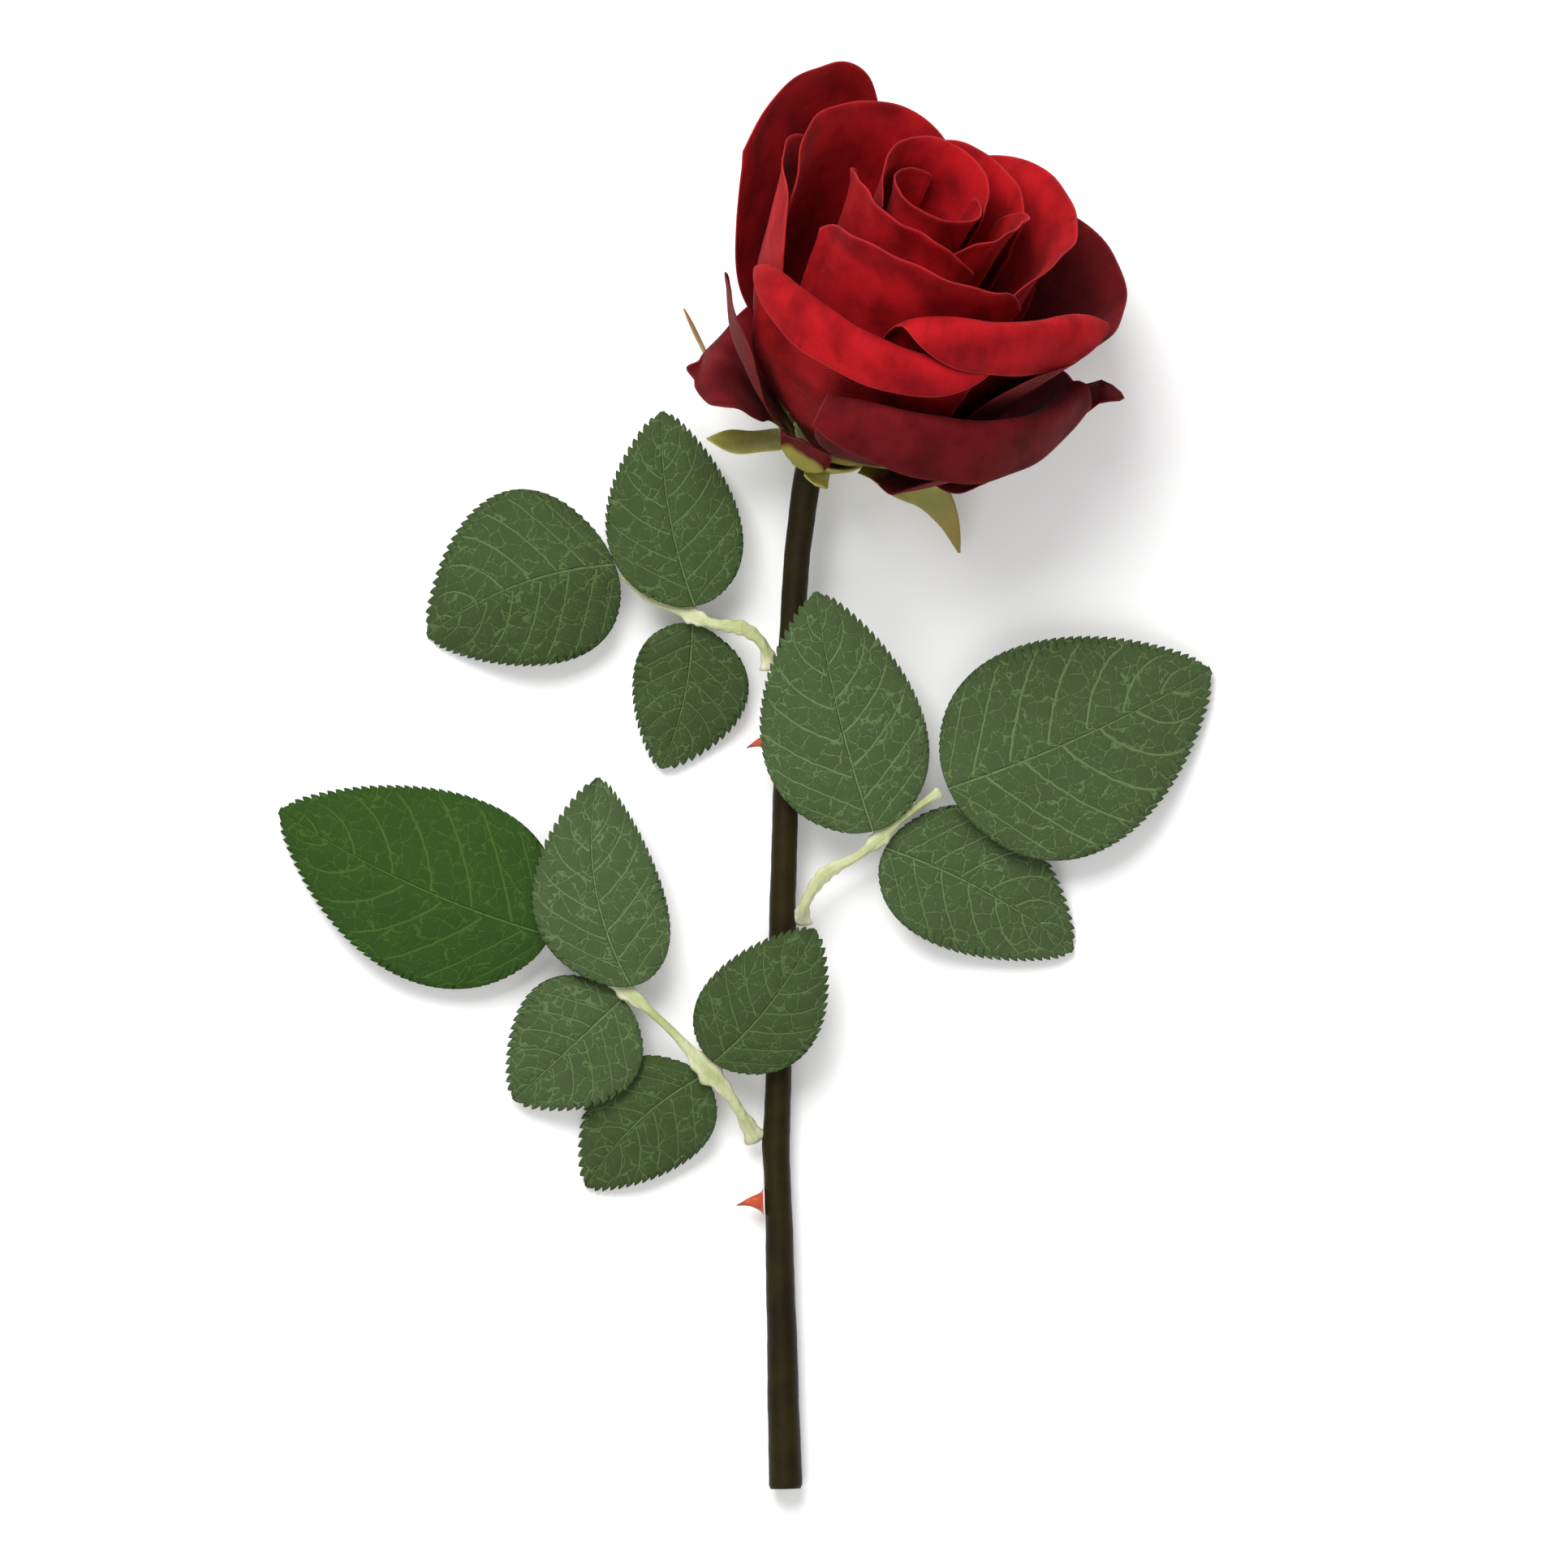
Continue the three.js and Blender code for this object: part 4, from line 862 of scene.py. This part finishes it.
# %% The sprays: stalk lines and leaflets
SPRAYS = {
    "upper": dict(
        path=[(-6, 219.5, 13.5), (-11, 223.4, 14.5), (-18.5, 224.6, 14.5), (-24.6, 227, 13.8),
              (-36, 231.6, 12.2), (-42.2, 238, 12)],
        leaflets=[
            dict(base=(-23.6, 229.4, 16.4), tip=(-32.1, 279.7, 7), lift=2, left=17, right=17.6, bend=2.5,
                 fold=0.05),
            dict(base=(-44.4, 240, 12.2), tip=(-93, 221.6, 1.2), lift=9, left=22.5, right=24, bend=-4,
                 fold=0.3),
            dict(base=(-24.2, 224.4, 11.2), tip=(-32.3, 187.3, 3), lift=0, left=16, right=14, bend=2,
                 fold=0.1),
        ]),
    "right": dict(
        path=[(5, 152, 11), (10.1, 159.6, 13.5), (18.9, 164.6, 14.5), (23.9, 168.6, 14.5),
              (32, 175.6, 14.5), (40.3, 181.2, 14.5)],
        leaflets=[
            dict(base=(22.6, 171, 16.8), tip=(7.8, 232.7, 20), lift=1.5, left=21.5, right=21, bend=1.5,
                 fold=0.08),
            dict(base=(42.4, 182, 15.6), tip=(110.4, 212.7, 3), lift=5, left=28, right=29, bend=-2,
                 fold=0.16),
            dict(base=(26, 166.4, 12.4), tip=(74.6, 139.9, 2), lift=1.5, left=19.5, right=18, bend=2.5,
                 fold=0.1),
        ]),
    "lower": dict(
        path=[(-15.1, 103, 10.5), (-21.2, 109.8, 12), (-30.2, 119.6, 12.2), (-39.6, 127.9, 12),
              (-46, 132.8, 11), (-59, 142.3, 9.5)],
        leaflets=[
            dict(base=(-18.6, 111, 14.2), tip=(7.6, 145.3, 17), lift=2.5, left=16, right=15, bend=-2.5,
                 fold=0.1),
            dict(base=(-21.6, 107.2, 9.4), tip=(-51.7, 78.5, 2), lift=1, left=16, right=15, bend=-3,
                 fold=0.12),
            dict(base=(-40.2, 130.8, 14.6), tip=(-48.8, 184.6, 6), lift=3, left=17, right=17, bend=5,
                 fold=0.08),
            dict(base=(-42.4, 127.2, 10.2), tip=(-70.5, 101, 4), lift=3.5, left=17.5, right=17.5, bend=0,
                 fold=0.06),
            dict(base=(-61.2, 143.8, 9.4), tip=(-131.5, 176.1, 1.2), lift=4.5, left=23, right=27, bend=3,
                 fold=0.16),
        ]),
}
print("leaflets:", sum(len(spray["leaflets"]) for spray in SPRAYS.values()))

# %% The stalks
FIT_GAP = 0.4               # left between pieces that are pushed or glued together
PETIOLE_RADIUS = 1.1
PETIOLE_WIDE, PETIOLE_TAPER = 1.1, 0.28     # of the radius: at the stem, and lost along the stalk
CHANNEL_DEPTH, CHANNEL_WIDTH, CHANNEL_START = 0.3, 0.5, (0.06, 0.2)
WING_SHAPE = 14             # power of a cosine; higher is thinner
WING_RAG, WING_RAGS = 0.25, 90              # how ragged the wings' edges are
END_ROUNDING, END_LEAST = 0.9, 0.15         # millimetres; the second keeps the end rings open
BLUSH_SHAPE, BLUSH_REACH = 8, 0.12          # paler on the wings and next to the stem
STALK_WINGS = [(0.02, 1.5, 0.07), (0.3, 0.8, 0.12)]     # share of the length, height and reach
LEAF_WING = (0.7, 0.06)                                 # height and reach at each leaflet
PETIOLE_STEPS = 120
PETIOLE_SIDES = 24
STALK_PALE = moulded("stalk pale green", (0.52, 0.56, 0.30), (0.33, 0.38, 0.13), 0.38, 0.2, 0.0003,
                     blush=(0.72, 0.70, 0.50), subsurface_weight=0.1, subsurface_scale=0.003)


def stalk(spray_name, path):
    """One leaf stalk: a rod that tapers, with a channel on top and wings at its joints."""
    start_at, side_of_stem = STALK_STARTS[spray_name]
    centre, radius = stem_at(start_at)
    start = centre + np.array([side_of_stem * (radius + FIT_GAP + PETIOLE_RADIUS), 0, 0])
    line, _, side, normal, walk = rod_line([start, *path], PETIOLE_STEPS)
    share = walk / walk[-1]
    angle = np.linspace(0, 2 * math.pi, PETIOLE_SIDES, endpoint=False)[None, :]
    radii = PETIOLE_RADIUS * (PETIOLE_WIDE - PETIOLE_TAPER * share)[:, None] + 0 * angle
    channel = np.exp(-(((angle - math.pi / 2) / CHANNEL_WIDTH) ** 2))
    radii = radii - CHANNEL_DEPTH * (channel * smooth(share, *CHANNEL_START)[:, None])
    joints = [share[np.argmin(np.linalg.norm(line - np.array(leaf["base"]), axis=1))]
              for leaf in SPRAYS[spray_name]["leaflets"]]
    wings = sum(height * np.exp(-(((share - joint) / reach) ** 2))
                for joint, height, reach in [*STALK_WINGS, *((joint, *LEAF_WING) for joint in joints)])
    ragged = wings * (1 + WING_RAG * np.sin(WING_RAGS * share))
    radii = radii + ragged[:, None] * abs(np.cos(angle)) ** WING_SHAPE
    from_end = np.minimum(walk + END_LEAST, walk[-1] - walk + END_LEAST)
    taper = np.minimum(1, from_end / END_ROUNDING)[:, None] ** 0.5
    rings = ring_points(line, side, normal, radii * taper)
    points, faces = ring_skin(rings)
    on_wings = abs(np.cos(angle)) ** BLUSH_SHAPE * np.minimum(1, wings)[:, None]
    blush = on_wings + smooth(share, BLUSH_REACH, 0)[:, None]
    add_piece("petiole_" + spray_name + "_moulding", points, faces, STALK_PALE, "petiole_plastic",
              {"blush": np.clip(blush.ravel(), 0, 1)})
    return walk[-1]


for name, spray in SPRAYS.items():
    print("stalk", name, "length, mm:", round(float(stalk(name, spray["path"])), 1))

# %% [markdown]
# ## Leaf cloth
# The leaflets are stamped from a printed, faintly shiny woven cloth. The print has a pale midrib, side
# veins that leave it forwards, and a net of fine veins between them; the die also presses the veins in.
# The net could be drawn by hand, but a Voronoi pattern's cell borders look just like it. The side veins
# are worked out on the mesh, so that the print and the pressed relief fall on the same lines.

# %% Leaf cloth
LEAF_WEAVE_PITCH = 0.6
LEAF_SLANT = math.radians(40)
BIG_NET, SMALL_NET, SIDE_VEIN, MIDRIB = 0.55, 0.34, 0.7, 0.85      # how strongly each is printed
NET_SCALE, SMALL_NET_SCALE, NET_BEND = 0.22, 0.5, 3.2
LEAF_THREAD_SHADE, LEAF_RIM_SHADE, LEAF_BACK = 0.35, 0.4, 0.5
LEAF_RELIEF = 0.0004        # in metres


def leaf_cloth(name, light, deep, vein, net):
    """A leaflet's finish: its two greens, the colour of its veins and how strongly the net is printed."""
    cloth = Finish(name, specular_ior_level=0.05)
    place = cloth.note("cloth", "Vector")
    rib = cloth.note("rib")
    phase = cloth.note("phase")
    rim = cloth.note("rim")
    under = cloth.note("under")
    threads = weave(cloth, place, LEAF_WEAVE_PITCH, LEAF_SLANT)
    clouds = cloth.noise(place, 0.11, 3.0, 0.6)
    wander = cloth.noise(place, 0.35, 2.0)
    bent = cloth.node("VectorMath", {"operation": "ADD"}, {0: place, 1: cloth.node(
        "VectorMath", {"operation": "SCALE"},
        {0: Flow(cloth.tree, cloth.noise(place, 0.3, 3.0).socket.node.outputs["Color"]),
         "Scale": NET_BEND})})
    cells, small = (cloth.node("TexVoronoi", {"feature": "DISTANCE_TO_EDGE"}, {"Vector": bent, "Scale": size})
                    for size in (NET_SCALE, SMALL_NET_SCALE))
    big_net = cloth.step(cells, 0.055, 0.012)
    small_net = cloth.step(small, 0.07, 0.015) * cloth.step(clouds, 0.4, 0.6)
    midrib = cloth.step(rib + wander * 0.25, 0.62, 0.28)
    off_vein = abs((phase + wander * 0.12).fraction() - 0.5)
    side_vein = cloth.step(off_vein, 0.440, 0.475) * cloth.step(rim, 0.5, 3.5)
    tone = cloth.step(clouds, 0.3, 0.7)
    colour = cloth.mix(tone, deep, light)
    colour = cloth.mix((1 - threads) * LEAF_THREAD_SHADE, colour, darker(deep, 0.45))
    colour = cloth.mix(cloth.step(threads, 0.8, 1.0) * 0.08, colour, vein)
    printed = (big_net * BIG_NET).at_least(small_net * SMALL_NET).at_least(side_vein * SIDE_VEIN) * net
    colour = cloth.mix(printed.at_least(midrib * MIDRIB), colour, vein)
    colour = cloth.mix(cloth.step(rim, 0.5, 0.12) * LEAF_RIM_SHADE, colour, darker(deep, 0.5))
    colour = cloth.mix(under * LEAF_BACK, colour, tuple(0.6 * a + 0.5 * b for a, b in zip(light, vein)))
    height = threads * 0.22 - printed * 0.9 - midrib * 1.2 + clouds * 0.6
    return cloth.finish(colour, 0.52 + threads * 0.16 + clouds * 0.14, height, LEAF_RELIEF)


print("threads of the leaflets, mm apart:", LEAF_WEAVE_PITCH)

# %% The three leaf finishes, and which leaflet has which
LEAF_DEEP = leaf_cloth("leaf cloth deep", (0.0095, 0.024, 0.005), (0.0045, 0.012, 0.0025),
                       (0.16, 0.24, 0.09), 0.95)
LEAF_SOFT = leaf_cloth("leaf cloth soft", (0.0155, 0.035, 0.009), (0.0075, 0.018, 0.004),
                       (0.20, 0.29, 0.12), 1.0)
LEAF_BRIGHT = leaf_cloth("leaf cloth bright", (0.006, 0.030, 0.004), (0.003, 0.015, 0.002),
                         (0.10, 0.20, 0.04), 0.7)
LEAF_CLOTHS = {
    "upper_1": LEAF_DEEP, "upper_2": LEAF_DEEP, "upper_3": LEAF_DEEP, "right_1": LEAF_SOFT,
    "right_2": LEAF_SOFT, "right_3": LEAF_SOFT, "lower_1": LEAF_DEEP, "lower_2": LEAF_DEEP,
    "lower_3": LEAF_SOFT, "lower_4": LEAF_SOFT, "lower_5": LEAF_BRIGHT,
}
print("leaf finishes are ready")

# %% [markdown]
# ## The leaflets
# Each leaflet is one sheet laid out from its midrib. A flat plane with a cut-out image would be quick,
# but its teeth would blur close by and it would be flat. Here the rows of points are stepped evenly
# along the cut edge, four to a tooth, so that every tooth is crisp and points to the tip. The cloth
# between the side veins is pushed up, as the die does it, and the edges wave a little.

# %% The sizes of a leaflet, in millimetres
LEAF_THICKNESS = 0.4
TOOTH_PITCH = 2.3
TOOTH_SHAPE = np.array([0.0, 0.38, 0.72, 1.0])      # how far the edge stands out, four rows to a tooth
TOOTH_DEPTH = 0.62
TOOTH_MIDDLE = 0.6          # of a tooth's depth that lies on the leaflet's outline
TOOTH_LEAN = 0.55           # how far a tooth points forwards, as a share of the pitch
TOOTH_REACH = 9             # power; higher keeps the teeth nearer the edge
LEAF_COLUMNS = 13
COLUMN_CROWDING = 1.15      # above 1, the columns stand closer at the midrib
SIDE_VEINS = 7
VEIN_SWEEP, VEIN_CURVE = 0.27, 1.25         # how far a vein runs forwards, and the power of its curve
VEIN_OFFSET = 0.35          # the veins of one half start between those of the other
PILLOW_HEIGHT, PILLOW_SHAPE = 0.42, 0.8     # of the cloth between two side veins
GROOVE_DEPTH, GROOVE_WIDTH = 0.45, 1.1
EDGE_WAVE, EDGE_WAVES, WAVE_OFFSET = 0.7, 1.6, 0.2
CALM_REACH = 0.06           # share of the length at each end that has no teeth
RIB_AT_TIP, RIB_TAPER = 0.45, 0.75          # thickness of the printed midrib, and what the base adds
LEAF_SEEDS = 100
LEAF_SPACING = 60           # between two leaflets on the flat cloth
BASE_ROUNDNESS = 0.5
TIP_SHARPNESS = 0.85
LEAF_END_WIDTH = 0.035
WIDEST = BASE_ROUNDNESS / (BASE_ROUNDNESS + TIP_SHARPNESS)
print("side veins on each half of a leaflet:", SIDE_VEINS)


# %% The leaflet's outline and its teeth
def leaf_width(along):
    """Half the leaflet's width, as a share of the widest."""
    outline = along ** BASE_ROUNDNESS * (1 - along) ** TIP_SHARPNESS
    return np.maximum(LEAF_END_WIDTH, outline / (WIDEST ** BASE_ROUNDNESS * (1 - WIDEST) ** TIP_SHARPNESS))


def tooth_rows(length, half):
    """Shares along the leaflet, four to a tooth and even along the cut edge."""
    fine = np.linspace(0, 1, 801)
    edge = walked(np.stack([fine * length, leaf_width(fine) * half], 1))
    teeth = round(edge[-1] / TOOTH_PITCH)
    rows = np.interp(np.linspace(0, edge[-1], len(TOOTH_SHAPE) * teeth + 1), edge, fine)
    return rows, np.resize(TOOTH_SHAPE, len(rows))


print("widest at this share of a leaflet's length:", round(WIDEST, 2))

# %% The leaflet surface
def leaf_sheet(leaf, seed):
    """The middle surface of one leaflet as a grid, with what its finish needs at each point."""
    chance = np.random.default_rng(LEAF_SEEDS + seed)
    phase = chance.uniform(0, 2 * math.pi, 4)
    base = np.array(leaf["base"], float)
    run = np.array(leaf["tip"], float) - base
    length = float(np.linalg.norm(run))
    rows, teeth = tooth_rows(length, (leaf["left"] + leaf["right"]) / 2)
    share = np.linspace(-1, 1, 2 * LEAF_COLUMNS + 1)
    across = (np.sign(share) * abs(share) ** COLUMN_CROWDING)[None, :]
    along = rows[:, None]
    left = unit(np.array([-run[1], run[0], 0.0]))
    arch = 4 * along * (1 - along)
    half = np.where(across > 0, leaf["left"], leaf["right"]) * leaf_width(along)
    edge = abs(across) ** TOOTH_REACH
    calm = smooth(np.minimum(along, 1 - along), 0.0, CALM_REACH)
    cut = TOOTH_DEPTH * (teeth[:, None] - TOOTH_MIDDLE) * edge * calm
    forward = TOOTH_LEAN * TOOTH_PITCH * teeth[:, None] * edge * calm / length
    points = (base + (along + forward)[..., None] * run + (arch * leaf["bend"])[..., None] * left
              + (across * half + np.sign(across) * cut)[..., None] * left)
    veins = SIDE_VEINS * (along - VEIN_SWEEP * abs(across) ** VEIN_CURVE) + VEIN_OFFSET * (across > 0)
    pillow = PILLOW_HEIGHT * abs(np.sin(math.pi * veins)) ** PILLOW_SHAPE * smooth(abs(across) * half, 0.5, 4)
    pillow = pillow * smooth(1 - abs(across), 0.0, 0.3) * smooth(along, 0, 0.15) * smooth(1 - along, 0, 0.2)
    groove = -GROOVE_DEPTH * np.exp(-((across * half / GROOVE_WIDTH) ** 2))
    wave_turns = EDGE_WAVES * along + WAVE_OFFSET * np.sign(across)
    wave = EDGE_WAVE * across ** 2 * np.sin(2 * math.pi * wave_turns + phase[0])
    wave = wave * smooth(along, 0, 0.3)
    points[..., 2] += (arch * leaf["lift"] - leaf["fold"] * abs(across) * half + pillow + groove + wave)
    flat = np.stack([across * half + LEAF_SPACING * seed, along * length + 0 * across,
                     0 * along * across], -1)
    notes = {"cloth": flat, "rib": abs(across) * half / (RIB_AT_TIP + RIB_TAPER * (1 - along)),
             "phase": veins + 10, "rim": (1 - abs(across)) * half * calm ** 0.3}
    return points, {name: (value + 0 * (along * across)[..., None] if value.ndim == 3
                           else value + 0 * along * across) for name, value in notes.items()}


print("columns of points across a leaflet:", 2 * LEAF_COLUMNS + 1)

# %% The leaflets
seed = 0
for spray_name, spray in SPRAYS.items():
    for number, leaf in enumerate(spray["leaflets"], 1):
        seed += 1
        grid, notes = leaf_sheet(leaf, seed)
        notes = {name: value.reshape(-1, 3) if value.ndim == 3 else value.ravel()
                 for name, value in notes.items()}
        solid, faces, notes = thicken(grid.reshape(-1, 3), grid_faces(*grid.shape[:2]), LEAF_THICKNESS, notes)
        leaf_name = f"{spray_name}_{number}"
        add_piece(f"leaflet_{leaf_name}_cloth", solid, faces, LEAF_CLOTHS[leaf_name], "leaf_fabric", notes)
        print("leaflet", leaf_name, "teeth on a side:", (len(grid) - 1) // len(TOOTH_SHAPE))

# %% [markdown]
# ## Thorns
# Two orange-red thorns are glued to the left of the stem. Each is a flattened cone that bends down
# the stem, with a foot that spreads on the stem's skin. Blender's own cone is straight and even, so
# each thorn is made of rings round a bent line, like the stem and the stalks.

# %% The thorns, each at its distance along the stem and with its droop
THORNS = [(194, 1.5), (74.6, 1)]
THORN_LENGTH = 7
THORN_BASE_RADIUS = 1.9
THORN_TIP_RADIUS = 0.14
THORN_FOOT, THORN_FOOT_REACH = 0.7, 0.05
THORN_FLATNESS = 0.35
THORN_BOW = 0.4             # of its droop, how far its middle stays up
THORN_TAPER = 1.15          # power; above 1, the tip is more slender
THORN_BLUSH = (0.55, 1.0)   # shares of the length where the tip turns brown
THORN_STEPS, THORN_SIDES = 40, 24
THORN_RED = moulded("thorn red", (0.52, 0.055, 0.006), (0.33, 0.03, 0.005), 0.3, 0.2, 0.0002,
                    blush=(0.16, 0.02, 0.008), coat_weight=0.2, coat_roughness=0.2)
for number, (start_at, droop) in enumerate(THORNS, 1):
    centre, radius = stem_at(start_at)
    root = centre - np.array([radius + FIT_GAP, 0, 0])
    tip = root + np.array([-THORN_LENGTH, -droop, 0])
    middle = (root + tip) / 2 + np.array([0, THORN_BOW * droop, 0])
    line, _, side, normal, walk = rod_line([root, middle, tip], THORN_STEPS)
    share = (walk / walk[-1])[:, None]
    angle = np.linspace(0, 2 * math.pi, THORN_SIDES, endpoint=False)[None, :]
    radii = THORN_BASE_RADIUS * (1 - share) ** THORN_TAPER + THORN_TIP_RADIUS
    radii = radii + THORN_FOOT * np.exp(-share / THORN_FOOT_REACH)
    radii = radii * (1 + THORN_FLATNESS * abs(np.cos(angle)) ** 2 * (1 - share))
    add_piece(f"thorn_{number}_moulding", *ring_skin(ring_points(line, side, normal, radii)), THORN_RED,
              "thorn_plastic", {"blush": (smooth(share, *THORN_BLUSH) + 0 * angle).ravel()})
print("thorns are made")

# %% [markdown]
# ## Floor, light and camera
# The rose lies on a plain white sheet that glows faintly, as on a light table, under soft studio
# light: a broad key light beyond the flower and a little to the left, a weaker one from the stem's
# end, and an even sky. A sun lamp would draw hard shadows; square lamps as wide as the rose draw soft
# ones. The camera is far away with a long lens and looks straight down, so nothing looks stretched.

# %% Floor
FLOOR_REACH = 3.0
FLOOR_GAP = 0.0003          # under the lowest solid
floor_mesh = bpy.data.meshes.new("floor")
floor_mesh.from_pydata([(-FLOOR_REACH, -FLOOR_REACH, 0), (FLOOR_REACH, -FLOOR_REACH, 0),
                        (FLOOR_REACH, FLOOR_REACH, 0), (-FLOOR_REACH, FLOOR_REACH, 0)], [], [(0, 1, 2, 3)])
floor = bpy.data.objects.new("floor", floor_mesh)
floor.location.z = -FLOOR_GAP
bpy.context.scene.collection.objects.link(floor)
# The floor's faint glow is painted light: it whitens the floor where the rose would shade it and lights the
# petals from below.
paper = Finish("paper", base_color=(0.95, 0.95, 0.945, 1), emission_color=(1, 1, 1, 1),
               emission_strength=0.12, roughness=0.9, specular_ior_level=0.1)
floor_mesh.materials.append(paper.material)
print("floor is laid")

# %% Light
SKY_STRENGTH = 0.4
KEY_SIZE, KEY_POWER = 0.75, 17
FILL_SIZE, FILL_POWER = 1.2, 8
HEAD_MIDDLE = (30, 315, 45)
world = bpy.data.worlds.new("studio")
bpy.context.scene.world = world
world.use_nodes = True
world.node_tree.nodes["Background"].inputs["Color"].default_value = (1, 1, 1, 1)
world.node_tree.nodes["Background"].inputs["Strength"].default_value = SKY_STRENGTH


def soft_light(name, place, target, size, power):
    """A square light at a place, turned to a target, all in metres."""
    lamp = bpy.data.lights.new(name, "AREA")
    lamp.size = size
    lamp.energy = power
    holder = bpy.data.objects.new(name, lamp)
    holder.location = place
    holder.rotation_euler = (Vector(target) - Vector(place)).to_track_quat("-Z", "Y").to_euler()
    bpy.context.scene.collection.objects.link(holder)


soft_light("key", (-0.25, 0.75, 1.05), (SHIFT + HEAD_MIDDLE) * MM, KEY_SIZE, KEY_POWER)
soft_light("fill", (-0.3, -0.9, 1.3), (0, 0, 0), FILL_SIZE, FILL_POWER)
bpy.context.scene.view_settings.view_transform = "Standard"
print("lights: key and fill")

# %% Camera
VIEW_CENTRE = np.array([-0.4, 183.1, 30.0])
VIEW_WIDTH = 405.7          # of what the camera sees at the height of its centre
CAMERA_HEIGHT = 6000.0
camera = bpy.data.objects.new("camera", bpy.data.cameras.new("camera"))
camera.data.lens = camera.data.sensor_width * (CAMERA_HEIGHT - VIEW_CENTRE[2]) / VIEW_WIDTH
camera.location = ((VIEW_CENTRE[0] + SHIFT[0]) * MM, (VIEW_CENTRE[1] + SHIFT[1]) * MM, CAMERA_HEIGHT * MM)
bpy.context.scene.collection.objects.link(camera)
bpy.context.scene.camera = camera
print("lens, mm:", round(camera.data.lens, 1))
